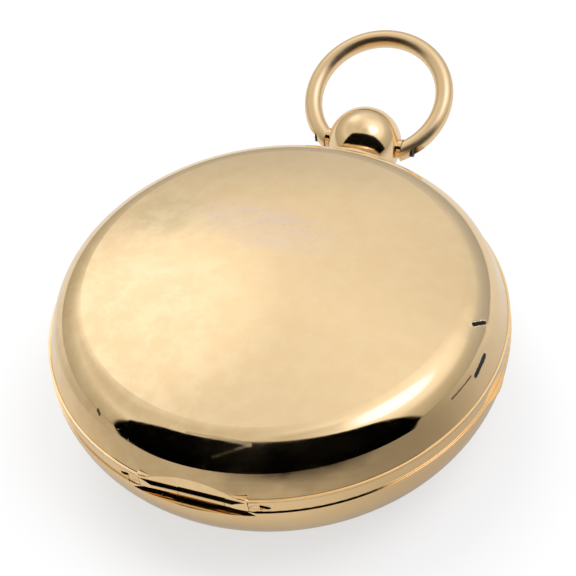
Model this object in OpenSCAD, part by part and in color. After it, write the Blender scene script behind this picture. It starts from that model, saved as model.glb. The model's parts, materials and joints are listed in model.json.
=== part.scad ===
// Pocket chronometer in a full hunter case, lying on its back cover with the front cover up.
// The origin is at the middle of the small worn flat under the back cover, the pendant points to +Y.
// Levels called depths are counted from the back face of the dial plate towards the back cover.

/* [Band] */
// Radius of the case at its two joint lines
case_r = 27.5; // [27.3:0.1:29]
// Height of the band between the two joint lines
band_h = 1.76; // [1.74:0.02:2.2]
// Radial thickness of the band from its rim to the movement's seat
band_t = 3.3; // [3.2:0.05:3.5]
// Height of the band's inner collar above the front joint line
collar_h = 0.9; // [0.85:0.05:1.1]
// Radial room that the ledge takes from the movement's seat
ledge_w = 1.0; // [0.6:0.1:1.2]

/* [Front cover] */
// Thickness of the gold sheet of both covers
cover_wall = 0.7; // [0.5:0.05:0.8]
// Air between the glass and the front cover
glass_air = 2.1; // [1.9:0.1:3.5]
// How far the wall's foot stands inside the rim
front_inset = 0.2; // [0.15:0.05:0.3]
// Slope of the wall, in degrees from upright
wall_slope = 20; // [17:1:22]
// Radius of the shoulder
shoulder_r = 4.8; // [4.4:0.1:5.2]
// Height of the shoulder's middle above the front joint line
shoulder_z = 1.65; // [1.5:0.05:1.9]
// Height of the thin lip at the wall's foot
flare_lip = 0.3; // [0.25:0.05:0.4]

/* [Back cover] */
// Radius of the crown's very flat curve
crown_r = 144.7; // [120:0.1:180]
// Air between the balance cock and the inner dome
under_air = 0.61; // [0.55:0.01:1.5]
// How far the belly swells beyond the rim
back_bulge = 0.15; // [0.05:0.05:0.3]
// Radius of the flat worn on the crown, on which the watch lies
rest_r = 6.0; // [4:0.5:8]

/* [Inner dome] */
// Thickness of the inner dome over the movement
dome_wall = 0.4; // [0.3:0.05:0.45]
// Air between the inner dome and the back cover
dome_gap = 0.5; // [0.4:0.05:0.55]
// Radius of the winding hole
wind_hole_r = 2.3; // [1.6:0.1:2.6]
// Radius of the hand setting hole
set_hole_r = 1.9; // [1.4:0.1:2.2]

/* [Cover joints] */
// Radius of the joint tubes
knuckle_r = 0.8; // [0.7:0.02:0.84]
// Radius of the joint pins
pin_r = 0.35; // [0.25:0.05:0.45]
// Length of the front joint
front_joint_len = 15.8; // [14:0.1:16.5]
// Length of the back joint
back_joint_len = 14.0; // [10:0.5:15]
// How far the front tube stays inside the rim
joint_inset = 0.4; // [0.35:0.05:0.6]

/* [Pendant and bow] */
// Radius of the ball
ball_r = 4.9; // [4.6:0.1:5.2]
// Length of the neck between the saddle and the ball
neck_len = 0.9; // [0.7:0.1:1.5]
// Radius of the neck
neck_r = 2.6; // [2.2:0.1:3]
// Radius of the bow's ring, at the middle of its wire
bow_ring_r = 8.95; // [8.8:0.05:9.2]
// Radius of the bow's wire
bow_wire_r = 1.2; // [1.1:0.05:1.25]
// Distance from the bow's screws to the middle of its ring
bow_rise = 7; // [6.9:0.1:7.1]
// How far the bow is raised from the plane of the case, in degrees
bow_lift = 24; // [0:1:30]
// Radius of the bow screws
bow_screw_r = 0.5; // [0.4:0.05:0.6]
// Radius of the push piece
push_r = 1.4; // [1.1:0.1:1.6]

/* [Glass and dial] */
// Height of the dial's back above the front joint line
dial_lift = 1.0; // [0.9:0.05:1.2]
// Thickness of the enamel dial
dial_t = 0.6; // [0.5:0.05:0.7]
// Height of the bezel
bezel_h = 1.9; // [1.7:0.05:2.1]
// Thickness of the glass
glass_t = 0.7; // [0.5:0.05:0.9]
// How far the glass rises in the middle
glass_rise = 2.6; // [2.3:0.1:2.9]
// Distance from the dial's middle to the small seconds
seconds_drop = 10.0; // [9.8:0.1:10.6]

/* [Plates] */
// Thickness of the dial plate
plate_t = 1.4; // [1.2:0.05:1.6]
// Room between dial plate and dial for the motion work
motion_space = 1.2; // [1.15:0.05:1.4]
// Depth of the train space between the plates
train_space = 4.4; // [4.35:0.05:4.6]
// Thickness of the train plate
train_plate_t = 1.2; // [1:0.05:1.4]
// Radius of the train plate
train_plate_r = 20.9; // [20.6:0.1:21.2]
// Radius of the arbors' pivots
pivot_r = 0.2; // [0.15:0.01:0.25]

/* [Train] */
// Module of the barrel's teeth
barrel_m = 0.26; // [0.25:0.002:0.264]
// Module of the centre wheel's teeth
centre_m = 0.19; // [0.18:0.002:0.194]
// Module of the third wheel's teeth
third_m = 0.17; // [0.16:0.002:0.172]
// Module of the fourth wheel's teeth
fourth_m = 0.14; // [0.136:0.001:0.142]
// Thickness of the train wheels
wheel_t = 0.4; // [0.3:0.02:0.42]
// Side of the winding and setting squares
square_w = 1.4; // [1.2:0.05:1.6]

/* [Escapement] */
// Radius of the escape wheel at its tooth tips
escape_r = 3.6; // [3.4:0.05:3.7]
// Radius of the impulse roller's disc
roller_r = 1.45; // [1.3:0.05:1.6]
// Outer radius of the balance rim
balance_r = 7.1; // [6.8:0.1:7.4]
// Radial width of the balance rim
rim_w = 0.9; // [0.7:0.05:1.1]
// Height of the balance rim
rim_t = 0.8; // [0.6:0.05:0.85]
// Radius of the helical balance spring
spring_r = 2.6; // [2.2:0.1:3]
// Thickness of the spring's wire
spring_wire = 0.2; // [0.16:0.01:0.22]
// Turns of the spring
spring_turns = 4; // [2:1:4]
// Radius of the cock's foot
cock_foot_r = 2.2; // [1.9:0.1:2.4]

/* [Hidden] */
$fn = 64;

// Clearances
line_gap = 0.04;
run_fit = 0.03;
seat_fit = 0.02;
air = 0.3;
glass_sink = 0.25;
slit = 0.06;
cut = 1;

// Wheel counts
barrel_n = 72;
centre_pin_n = 12;
centre_n = 64;
third_pin_n = 8;
third_n = 60;
fourth_pin_n = 8;
fourth_n = 64;
escape_pin_n = 8;
escape_n = 15;
cannon_n = 12;
minute_n = 36;
minute_pin_n = 10;
hour_n = 40;

// Places of the train, seen from the dial
barrel_dir = 60;
barrel_a = barrel_m * (barrel_n + centre_pin_n) / 2;
third_a = centre_m * (centre_n + third_pin_n) / 2;
third_b = third_m * (third_n + fourth_pin_n) / 2;
fourth_a = fourth_m * (fourth_n + escape_pin_n) / 2;
barrel_p = barrel_a * [cos(barrel_dir), sin(barrel_dir)];
fourth_p = [0, -seconds_drop];
third_y = (third_a ^ 2 - third_b ^ 2 + seconds_drop ^ 2) / (2 * seconds_drop);
third_p = [sqrt(third_a ^ 2 - third_y ^ 2), -third_y];
escape_dir = 200;
escape_p = fourth_p + fourth_a * [cos(escape_dir), sin(escape_dir)];
balance_dir = 175;
balance_a = escape_r + roller_r + 0.1;
balance_p = escape_p + balance_a * [cos(balance_dir), sin(balance_dir)];
cock_dir = 113;
cock_len = balance_r + 0.6 + air + cock_foot_r + 0.3;
cock_p = balance_p + cock_len * [cos(cock_dir), sin(cock_dir)];
escape_foot_p = escape_p + (escape_r + 1.9) * [cos(-55), sin(-55)];
motion_dir = 30;
motion_a = 4.2;
cannon_m = motion_a * 2 / (cannon_n + minute_n);
hour_m = motion_a * 2 / (minute_pin_n + hour_n);
motion_p = motion_a * [cos(motion_dir), sin(motion_dir)];

// Depths of the train
barrel_top_d = 0.2;
barrel_teeth_t = 0.7;
centre_d = train_space - 0.2 - wheel_t;
barrel_low_d = centre_d - air;
third_d = 2.0;
fourth_d = 0.75;
escape_d = 1.65;
escape_cock_d = 2.5;
escape_cock_t = 0.5;
balance_d = escape_cock_d + escape_cock_t + air;
spring_top_d = balance_d + rim_t + 0.35;
spring_pitch = spring_wire + 0.44;
spring_h = spring_pitch * (spring_turns + 0.75);
weight_h = 0.34;
cock_d = spring_top_d + spring_h + 0.35;
cock_t = 0.7;
cock_end_r = 2.0;

// Back cover profile, deep enough for the cock over the inner dome
function crown_sag(wall, r) = crown_r - wall - sqrt((crown_r - wall) ^ 2 - r ^ 2);
shells_t = cover_wall + dome_gap + dome_wall;
cock_reach = max(norm(balance_p) + cock_end_r, norm(cock_p) + cock_foot_r);
back_depth = cock_d + cock_t + plate_t + motion_space - dial_lift - band_h
             + under_air + crown_sag(shells_t, cock_reach) + shells_t;
swell_r = case_r + back_bulge;
belly_r = (crown_r ^ 2 - swell_r ^ 2 - (crown_r - back_depth) ^ 2) / (2 * (crown_r - swell_r));
belly_mid_r = swell_r - belly_r;

// Levels of the case
rest_sag = crown_sag(0, rest_r);
low_z = back_depth - rest_sag;
up_z = low_z + band_h;
mid_z = (low_z + up_z) / 2;

// Front cover profile
wall_foot_r = case_r - front_inset;
wall_top_z = shoulder_z + shoulder_r * sin(wall_slope);
wall_top_r = wall_foot_r - (wall_top_z - flare_lip) * tan(wall_slope);
shoulder_mid_r = wall_top_r - shoulder_r * cos(wall_slope);
cover_bore_r = shoulder_mid_r + shoulder_r - cover_wall;
front_depth = collar_h + 0.05 + bezel_h - glass_sink + glass_rise + glass_air + cover_wall;
shoulder_drop = front_depth - shoulder_z;
front_crown_r = (shoulder_mid_r ^ 2 + shoulder_drop ^ 2 - shoulder_r ^ 2)
                / (2 * (shoulder_drop - shoulder_r));

// Band steps
bore_r = case_r - band_t;
collar_r = cover_bore_r - air;
skirt_r = case_r + back_bulge - cover_wall - 0.1;
skirt_h = 0.6;
boss_h = 0.95;
dome_r = belly_r - cover_wall - dome_gap;
dome_bore_r = dome_r - dome_wall;
boss_low_z = low_z - skirt_h - boss_h;
boss_r = belly_mid_r + sqrt(dome_bore_r ^ 2 - (skirt_h + boss_h) ^ 2) - 0.05;

// Levels of the movement
dial_z = up_z + dial_lift;
plate_z = dial_z - motion_space - plate_t;
plate_front_z = plate_z + plate_t;
train_plate_d = train_space + train_plate_t;
plate_r = bore_r - seat_fit * 2;
plate_back_r = bore_r - ledge_w - 0.1;

// Cover joints
joint_y = case_r - joint_inset - knuckle_r;
back_joint_x = case_r - 0.1 - knuckle_r;
knuckle_cut_r = knuckle_r + 0.1;
knuckle_shares = [0, 0.1, 0.405, 0.75, 0.915, 1];
front_lip_dir = 59;
front_lip_r = 12;
back_lip_dir = -5.7;
back_lip_r = 8;

// Pendant
saddle_r = case_r + back_bulge + 0.12;
saddle_t = 0.5;
ball_y = saddle_r + saddle_t + neck_len + sqrt(ball_r ^ 2 - neck_r ^ 2);
ball_boss_x = ball_r + 0.35;
bow_end_x = ball_boss_x + 0.05;
bow_out_x = sqrt((bow_ring_r + bow_wire_r) ^ 2 - bow_rise ^ 2);
bow_seat_x = bow_out_x - 0.95;
screw_head_r = bow_screw_r + 0.3;
push_stem_r = 0.4;
push_head_t = 1.5;

// Lock and lift springs in their channel
channel_in_r = bore_r + 0.6;
channel_out_r = cover_bore_r + 0.6;
channel_d = 1.2;
lock_dir = 50;
lift_dir = 204;
lock_strip_r = cover_bore_r - 0.65;
lock_strip_t = 0.45;
strip_top_z = up_z - 0.1;
strip_low_z = up_z - channel_d + 0.1;
hook_low = 0.42;
hook_top = collar_h - 0.06;

// Escapement parts
roller_d = escape_d;
pallet_r = balance_a - escape_r + 0.2;
pallet_dir = balance_dir + 120;
lock_tooth_dir = balance_dir + 50;
stone_p = escape_p + (escape_r + 0.18) * [cos(lock_tooth_dir), sin(lock_tooth_dir)];
detent_dir = lock_tooth_dir - 90;
detent_len = 5.2;
detent_reach = 2.75;
detent_t = 0.3;
detent_blade_t = 0.08;
detent_d = escape_d + wheel_t + 0.06;
detent_h = 0.32;
stone_r = 0.13;

function polar(r, a) = r * [cos(a), sin(a)];
function depth(d) = plate_z - d;

// Upright round rod between two levels
module rod(r, z0, z1, p = [0, 0]) {
    translate([p.x, p.y, z0]) cylinder(r = r, h = z1 - z0);
}

// Upright round rod between two depths
module rod_d(r, d0, d1, p = [0, 0]) {
    rod(r, depth(d1), depth(d0), p);
}

// Ring between two levels
module ring(ro, ri, z0, z1, p = [0, 0]) {
    difference() {
        rod(ro, z0, z1, p);
        rod(ri, z0 - cut, z1 + cut, p);
    }
}

// Stretch of a ring with a square section, from one angle to another
module arc_bar(ri, ro, z0, z1, a0, a1) {
    rotate([0, 0, a0])
        rotate_extrude(angle = a1 - a0)
            translate([ri, z0]) square([ro - ri, z1 - z0]);
}

// Screw head with its slot, upright at a place, the slot on its lower side
module screw_head(r, z0, h, p, turn = 30) {
    difference() {
        rod(r, z0, z0 + h, p);
        translate([p.x, p.y, z0]) rotate([0, 0, turn])
            cube([3 * r, r * 0.28, h * 0.9], center = true);
    }
}

// Half profile of the front cover's outside, or of its hollow when wall is taken off
module front_profile(wall) {
    crown_z = front_depth - front_crown_r;
    tangent_r = front_crown_r * shoulder_mid_r
                / norm([shoulder_mid_r, shoulder_z - crown_z]);
    intersection() {
        translate([0, crown_z]) circle(front_crown_r - wall, $fn = 256);
        square([tangent_r, front_depth]);
    }
    intersection() {
        translate([shoulder_mid_r, shoulder_z]) circle(shoulder_r - wall);
        square([case_r, front_depth]);
    }
    square([shoulder_mid_r + shoulder_r - wall, shoulder_z]);
}

// Half profile of the back cover's outside or of a hollow inside it, hanging down from its edge
module back_profile(wall) {
    crown_z = crown_r - back_depth;
    tangent_r = crown_r * belly_mid_r / norm([belly_mid_r, crown_z]);
    intersection() {
        translate([0, crown_z]) circle(crown_r - wall, $fn = 256);
        translate([0, -back_depth]) square([tangent_r, back_depth]);
    }
    intersection() {
        translate([belly_mid_r, 0]) circle(belly_r - wall);
        translate([0, -back_depth]) square([case_r + belly_r, back_depth]);
    }
}

// Tube pieces of a joint along X around the origin, from the listed places
module knuckles(len, which, r, gap) {
    for (k = which)
        translate([len * (knuckle_shares[k] - 0.5) + gap / 2, 0, 0])
            rotate([0, 90, 0])
                cylinder(r = r, h = len * (knuckle_shares[k + 1] - knuckle_shares[k]) - gap);
}

// Box beside the joint's axis under the listed tube pieces
module knuckle_webs(len, which, y0, y1, z0, z1, gap) {
    for (k = which)
        translate([len * (knuckle_shares[k] - 0.5) + gap / 2, y0, z0])
            cube([len * (knuckle_shares[k + 1] - knuckle_shares[k]) - gap, y1 - y0, z1 - z0]);
}

// Places the front joint at six o'clock
module at_front_joint() {
    translate([0, -joint_y, mid_z]) children();
}

// Places the back joint at nine o'clock, turned so that its outside is away from the case
module at_back_joint() {
    rotate([0, 0, -90]) translate([0, -back_joint_x, mid_z]) children();
}

// Straight cut across the rim along a joint, from outside to a distance from its axis
module rim_cut(len, more, y1, z0, z1) {
    translate([-len / 2 - slit, -4, z0]) cube([len + 2 * slit + more, 4 + y1, z1 - z0]);
}

// Tube pieces shaved flush with the rim
module flush() {
    intersection() {
        union() children();
        rod(case_r - 0.02, low_z - 2, up_z + 2);
    }
}

module joint_bore(len) {
    rotate([0, 90, 0]) cylinder(r = pin_r + run_fit, h = len + 2, center = true);
}

band_knuckles = [0, 2, 4];
cover_knuckles = [1, 3];

module band_ring() {
    rotate_extrude()
        polygon([[case_r, low_z + line_gap / 2], [case_r, up_z - line_gap / 2],
                 [collar_r, up_z - line_gap / 2], [collar_r, up_z + collar_h],
                 [bore_r, up_z + collar_h], [bore_r, plate_z],
                 [bore_r - ledge_w, plate_z], [bore_r - ledge_w, boss_low_z],
                 [boss_r, boss_low_z], [boss_r, low_z - skirt_h],
                 [skirt_r, low_z - skirt_h], [skirt_r, low_z + line_gap / 2]]);
}

module case_band() {
    color("goldenrod") {
        difference() {
            band_ring();
            at_front_joint() {
                rim_cut(front_joint_len, 0, 0, -band_h / 2 - line_gap, band_h);
                knuckles(front_joint_len, cover_knuckles, knuckle_cut_r, 0);
                knuckle_webs(front_joint_len, cover_knuckles, -cut, 1.0, 0, band_h, 0);
                joint_bore(front_joint_len);
            }
            at_back_joint() {
                rim_cut(back_joint_len, 0, 0, -band_h / 2 - line_gap, band_h);
                knuckles(back_joint_len, cover_knuckles, knuckle_cut_r, 0);
                knuckle_webs(back_joint_len, cover_knuckles, -cut, 0.6, -band_h / 2 - line_gap, 0,
                             0);
                joint_bore(back_joint_len);
            }
            lock_channel();
            lift_channel();
            // hole for the pendant's tenon
            translate([0, 0, mid_z]) rotate([-90, 0, 0]) rod(tenon_r, channel_out_r - 1, case_r + cut);
            for (a = case_screw_dirs)
                rod(case_screw_r + seat_fit, plate_z - 0.9, up_z, polar(case_screw_at_r, a));
            for (a = case_screw_dirs)
                rod(case_screw_head_r + 0.1, plate_front_z - 0.02, up_z + collar_h + cut,
                    polar(case_screw_at_r, a));
        }
        difference() {
            flush() at_front_joint() {
                knuckles(front_joint_len, band_knuckles, knuckle_r, slit);
                knuckle_webs(front_joint_len, band_knuckles, 0, 0.9, -0.6, 0.6, slit);
            }
            at_front_joint() joint_bore(front_joint_len);
        }
        difference() {
            flush() at_back_joint() {
                knuckles(back_joint_len, band_knuckles, knuckle_r, slit);
                knuckle_webs(back_joint_len, band_knuckles, 0, 1.4, -0.6, 0.6, slit);
            }
            at_back_joint() joint_bore(back_joint_len);
        }
    }
}

module front_joint_pin() {
    color("gold") flush() at_front_joint()
        rotate([0, 90, 0]) cylinder(r = pin_r, h = front_joint_len - 0.3, center = true);
}

module back_joint_pin() {
    color("gold") flush() at_back_joint()
        rotate([0, 90, 0]) cylinder(r = pin_r, h = back_joint_len - 0.3, center = true);
}

module front_cover() {
    color("gold") {
        difference() {
            union() {
                translate([0, 0, up_z]) rotate_extrude() {
                    front_profile(0);
                    polygon([[0, 0], [case_r, 0], [case_r, flare_lip], [wall_foot_r, flare_lip],
                             [wall_top_r, wall_top_z], [shoulder_mid_r, shoulder_z],
                             [0, shoulder_z]]);
                }
                rod(front_lip_r, up_z, up_z + flare_lip,
                    polar(case_r + 0.6 - front_lip_r, front_lip_dir));
                at_front_joint()
                    knuckle_webs(front_joint_len, cover_knuckles, -0.45, 0.7, 0, band_h / 2 + 0.7,
                                 slit);
            }
            translate([0, 0, up_z - cut]) cylinder(r = cover_bore_r, h = shoulder_z + cut);
            translate([0, 0, up_z]) rotate_extrude() front_profile(cover_wall);
            // level edge that lies on the band
            difference() {
                translate([0, 0, up_z - 2]) cylinder(r = case_r + 1, h = 2 + line_gap / 2);
                at_front_joint()
                    knuckle_webs(front_joint_len, cover_knuckles, -0.5, 0.75, -0.1, band_h, slit);
            }
            // straight edges above both joints, clear of the back cover when either cover swings
            at_front_joint() rim_cut(front_joint_len, 0, -0.5, 0, band_h / 2 + wall_top_z);
            at_back_joint() rim_cut(back_joint_len, 0, -0.5, 0, band_h / 2 + wall_top_z);
            at_front_joint() joint_bore(front_joint_len);
            at_front_joint() knuckles(front_joint_len, band_knuckles, knuckle_cut_r, 0);
            arc_bar(cover_bore_r - 0.2, cover_bore_r + 0.55, up_z + hook_low - 0.12,
                    up_z + hook_top + 0.1, 90 - 5, 90 + 5);
        }
        difference() {
            flush() at_front_joint() knuckles(front_joint_len, cover_knuckles, knuckle_r, slit);
            at_front_joint() joint_bore(front_joint_len);
        }
    }
}

module back_cover() {
    color("gold") {
        difference() {
            union() {
                translate([0, 0, low_z - line_gap / 2]) rotate_extrude() back_profile(0);
                rod(back_lip_r, low_z - 0.4, low_z - line_gap / 2,
                    polar(swell_r + 0.35 - back_lip_r, back_lip_dir));
            }
            translate([0, 0, low_z - line_gap / 2]) rotate_extrude() back_profile(cover_wall);
            rod(2 * case_r, -2, 0);
            at_front_joint() rim_cut(front_joint_len, 0, -0.35, -band_h / 2 - 0.5, 0);
            at_back_joint() joint_bore(back_joint_len);
            at_back_joint() knuckles(back_joint_len, band_knuckles, knuckle_cut_r, 0);
        }
        difference() {
            flush() at_back_joint() {
                knuckles(back_joint_len, cover_knuckles, knuckle_r, slit);
                knuckle_webs(back_joint_len, cover_knuckles, -0.75, 0.3, -band_h / 2 - 0.3, 0,
                             slit);
            }
            at_back_joint() joint_bore(back_joint_len);
            rod(skirt_r + 0.1, 0, low_z + 0.12);
        }
    }
}

module inner_dome() {
    color("khaki")
        difference() {
            union() {
                translate([0, 0, low_z]) rotate_extrude()
                    difference() {
                        back_profile(cover_wall + dome_gap);
                        back_profile(cover_wall + dome_gap + dome_wall);
                        translate([0, -skirt_h - 0.05]) square([2 * case_r, 2]);
                    }
                for (h = [[barrel_p, wind_hole_r], [[0, 0], set_hole_r]])
                    rod(h[1] + 0.5, dome_z(h[0]), dome_z(h[0]) + dome_wall + 0.15, h[0]);
            }
            rod(wind_hole_r, 0, low_z, barrel_p);
            rod(set_hole_r, 0, low_z);
        }
}

// Level of the inner dome's outside at a place
function dome_z(p) = low_z + crown_r - back_depth
                     - sqrt((crown_r - cover_wall - dome_gap) ^ 2 - p * p) + 0.05;

// Bezel and glass
bezel_low_z = up_z + collar_h + 0.05;
bezel_top_z = bezel_low_z + bezel_h;
glass_r = bore_r - 1.3;
glass_seat_z = bezel_top_z - glass_t - glass_sink;
glass_sphere_r = (glass_r ^ 2 + glass_rise ^ 2) / (2 * glass_rise);

module bezel() {
    color("gold") rotate_extrude()
        difference() {
            union() {
                translate([glass_r - 0.8, bezel_low_z])
                    square([collar_r - glass_r + 0.8 - 0.1, bezel_h * 0.55]);
                translate([glass_r - 0.8, bezel_low_z])
                    square([collar_r - glass_r - 0.3, bezel_h]);
                translate([glass_r - 0.1, bezel_low_z - 0.4])
                    square([bore_r - glass_r - seat_fit + 0.1, 0.6]);
            }
            translate([glass_r - 2, glass_seat_z - seat_fit])
                square([2 + seat_fit, bezel_h]);
            translate([0, bezel_low_z - 1]) square([glass_r - 0.8, 2 * bezel_h]);
        }
}

module glass() {
    color([0.9, 0.95, 1, 0.35])
        rotate_extrude()
            difference() {
                intersection() {
                    translate([0, glass_seat_z + glass_t + glass_rise - glass_sphere_r])
                        circle(glass_sphere_r, $fn = 256);
                    translate([0, glass_seat_z]) square([glass_r, glass_t + glass_rise]);
                }
                intersection() {
                    translate([0, glass_seat_z + glass_t + glass_rise - glass_sphere_r])
                        circle(glass_sphere_r - glass_t, $fn = 256);
                    translate([0, glass_seat_z - 1]) square([glass_r - 0.6, 2 * glass_rise + 1]);
                }
            }
}

tenon_r = band_h / 2 - 0.12;

module pendant() {
    color("gold")
        difference() {
            union() {
                translate([0, ball_y, mid_z]) rotate([0, 0, 45]) sphere(r = ball_r);
                translate([0, ball_y, mid_z]) rotate([0, 90, 0])
                    cylinder(r = bow_wire_r + 0.1, h = 2 * ball_boss_x, center = true);
                translate([0, 0, mid_z]) rotate([-90, 0, 0]) {
                    rod(neck_r, saddle_r, ball_y);
                    rod(tenon_r - seat_fit, channel_out_r, ball_y);
                }
                // saddle against the band, cut to an oval
                intersection() {
                    union() {
                        ring(saddle_r + saddle_t, saddle_r, mid_z - 4, mid_z + 4);
                        ring(saddle_r + 0.1, case_r + 0.01, low_z + 0.1, up_z - 0.1);
                    }
                    translate([0, 0, mid_z]) rotate([-90, 0, 0])
                        scale([saddle_long, 1, 1]) rod(saddle_high, case_r - 4, ball_y);
                }
            }
            translate([0, 0, mid_z]) rotate([-90, 0, 0]) {
                rod(push_stem_r + run_fit, 0, ball_y + ball_r);
                rod(push_r + run_fit, ball_y + ball_r - 1.5, ball_y + ball_r + cut);
            }
            for (s = [-1, 1])
                translate([0, ball_y, mid_z]) rotate([0, s * 90, 0])
                    rod(bow_screw_r + seat_fit, ball_r - 2, ball_boss_x + cut);
        }
}

saddle_high = 3.3;
saddle_long = 2.6;

module bow() {
    color("gold")
        translate([0, ball_y, mid_z]) rotate([bow_lift, 0, 0])
            difference() {
                translate([0, bow_rise, 0])
                    rotate_extrude() translate([bow_ring_r, 0]) circle(bow_wire_r, $fn = 32);
                cube([2 * bow_end_x, 2 * ball_r, 4], center = true);
                for (s = [-1, 1])
                    rotate([0, s * 90, 0]) {
                        rod(bow_screw_r + 0.05, 0, bow_out_x + cut);
                        rod(screw_head_r + 0.05, bow_seat_x, bow_out_x + 1);
                    }
            }
}

module bow_screws() {
    color("dimgray")
        for (s = [-1, 1])
            translate([0, ball_y, mid_z]) rotate([0, s * 90, 0])
                difference() {
                    union() {
                        rod(bow_screw_r, ball_r - 1.9, bow_seat_x + 0.2);
                        rod(screw_head_r, bow_seat_x + 0.05, bow_seat_x + 0.45);
                    }
                    translate([0, 0, bow_seat_x + 0.45]) cube([0.25, 3, 0.3], center = true);
                }
}

module push_piece() {
    head_y = ball_y + ball_r - 0.55;
    color("gold")
        translate([0, 0, mid_z]) rotate([-90, 0, 0]) {
            rod(push_stem_r, lock_strip_r + lock_strip_t + 0.02, head_y);
            intersection() {
                rod(push_r, head_y - 0.6, head_y + push_head_t);
                translate([0, 0, head_y + push_head_t - 2.2 * push_r]) sphere(r = 2.2 * push_r);
            }
        }
}

module lock_channel() {
    arc_bar(channel_in_r, channel_out_r, up_z - channel_d, up_z + 0.02, lock_dir - 4, 96);
    arc_bar(channel_in_r + 0.1, channel_out_r - 0.1, up_z - 0.2, up_z + collar_h + cut,
            86, 94);
    rod(spring_screw_r + seat_fit, plate_z - 0.4, up_z, polar(spring_screw_at_r, lock_dir - 1));
}

module lift_channel() {
    arc_bar(channel_in_r, channel_out_r, up_z - channel_d, up_z + 0.02, lift_dir - 4, 244);
    rod(spring_screw_r + seat_fit, plate_z - 0.4, up_z, polar(spring_screw_at_r, lift_dir - 1));
}

spring_screw_r = 0.3;
spring_screw_at_r = (channel_in_r + channel_out_r) / 2;
neck_turn = asin(0.5808 / spring_screw_at_r);

module lock_spring() {
    color("steelblue") {
        difference() {
            union() {
                arc_bar(lock_strip_r, lock_strip_r + lock_strip_t, strip_low_z, strip_top_z,
                        lock_dir - 1 + neck_turn, 93);
                rod(0.6, strip_low_z, strip_top_z - 0.25, polar(spring_screw_at_r, lock_dir - 1));
            }
            rod(spring_screw_r + 0.04, strip_low_z - cut, up_z + cut,
                polar(spring_screw_at_r, lock_dir - 1));
            rod(0.62, strip_top_z - 0.25, up_z + cut, polar(spring_screw_at_r, lock_dir - 1));
        }
        arc_bar(lock_strip_r - 0.2, lock_strip_r + 0.1, strip_low_z + 0.05, up_z + hook_top,
                88, 92);
        arc_bar(lock_strip_r - 0.1, cover_bore_r - 0.05, up_z + hook_low, up_z + hook_top - 0.02,
                88.1, 91.9);
    }
}

module lift_spring() {
    color("steelblue")
        difference() {
            union() {
                arc_bar(lock_strip_r, lock_strip_r + lock_strip_t, strip_low_z, strip_top_z,
                        lift_dir, 243);
                rod(0.6, strip_low_z, strip_top_z - 0.25, polar(spring_screw_at_r, lift_dir - 1));
            }
            rod(spring_screw_r + 0.02, strip_low_z - cut, up_z + cut,
                polar(spring_screw_at_r, lift_dir - 1));
            rod(0.62, strip_top_z - 0.25, up_z + cut, polar(spring_screw_at_r, lift_dir - 1));
        }
}

module spring_screws() {
    color("dimgray")
        for (a = [lock_dir - 1, lift_dir - 1]) {
            p = polar(spring_screw_at_r, a);
            rod(spring_screw_r, plate_z - 0.35, strip_top_z - 0.2, p);
            difference() {
                rod(0.55, strip_top_z - 0.22, strip_top_z + 0.08, p);
                translate([p.x, p.y, strip_top_z + 0.08]) rotate([0, 0, a])
                    cube([2, 0.15, 0.2], center = true);
            }
        }
}

// Gear teeth
function epi_at(rp, rg, r) =
    let (s = rp + rg, a = acos(min(1, (s * s + rg * rg - r * r) / (2 * s * rg))) * rg / rp)
    atan2(s * sin(a) - rg * sin(s / rg * a), s * cos(a) - rg * cos(s / rg * a));

// Outline of a wheel with cycloidal teeth that drives a pinion of mate leaves
function wheel_points(n, m, mate) =
    let (rp = m * n / 2, rg = m * mate / 4, h = 86 / n,
         r0 = rp - 1.35 * m, r1 = rp + 0.45 * m, r2 = rp + 0.95 * m, r3 = rp + 1.15 * m,
         h1 = h - epi_at(rp, rg, r1), h2 = h - epi_at(rp, rg, r2),
         h3 = max(0.15 * h, h - epi_at(rp, rg, r3)))
    [for (i = [0:n - 1]) let (c = 360 * i / n)
        each [polar(r0, c - h), polar(rp, c - h), polar(r1, c - h1), polar(r2, c - h2),
              polar(r3, c - h3), polar(r3, c + h3), polar(r2, c + h2), polar(r1, c + h1),
              polar(rp, c + h), polar(r0, c + h)]];

// Outline of a pinion with radial flanks and rounded leaves
function pinion_points(n, m) =
    let (rp = m * n / 2, h = 70 / n)
    [for (i = [0:n - 1]) let (c = 360 * i / n)
        each [polar(rp - 1.5 * m, c - h), polar(rp, c - h), polar(rp + 0.45 * m, c - 0.72 * h),
              polar(rp + 0.7 * m, c - 0.25 * h), polar(rp + 0.7 * m, c + 0.25 * h),
              polar(rp + 0.45 * m, c + 0.72 * h), polar(rp, c + h),
              polar(rp - 1.5 * m, c + h)]];

// Wheel between two depths, a tooth towards dir
module wheel(n, m, mate, d, t, dir, p, arms, hub_r, rim) {
    rr = m * n / 2 - 1.35 * m - rim;
    translate([p.x, p.y, depth(d + t)]) rotate([0, 0, dir])
        linear_extrude(t)
            difference() {
                polygon(wheel_points(n, m, mate));
                difference() {
                    circle(rr);
                    circle(hub_r);
                    for (i = [0:arms - 1])
                        rotate([0, 0, 360 * i / arms + 20])
                            translate([0, -0.2 * hub_r - 0.12]) square([rr + 1, 0.4 * hub_r + 0.24]);
                }
            }
}

// Pinion between two depths, a gap between leaves towards dir
module pinion(n, m, d0, d1, dir, p) {
    translate([p.x, p.y, depth(d1)]) rotate([0, 0, dir + 180 / n])
        linear_extrude(d1 - d0) polygon(pinion_points(n, m));
}

module plate_hole(r, d0, d1, p) {
    rod_d(r + run_fit, d0 - 0.1, d1 + 0.1, p);
}

jewel_r = 0.75;
jewel_t = 0.4;
case_screw_dirs = [125, 290, 15];
case_screw_r = 0.5;
case_screw_head_r = 1.2;
case_screw_at_r = bore_r + 0.35;
pillar_dirs = [20, 118, 285, 330];
pillar_r = 1.3;
pillar_at_r = train_plate_r - pillar_r - 0.3;

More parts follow.
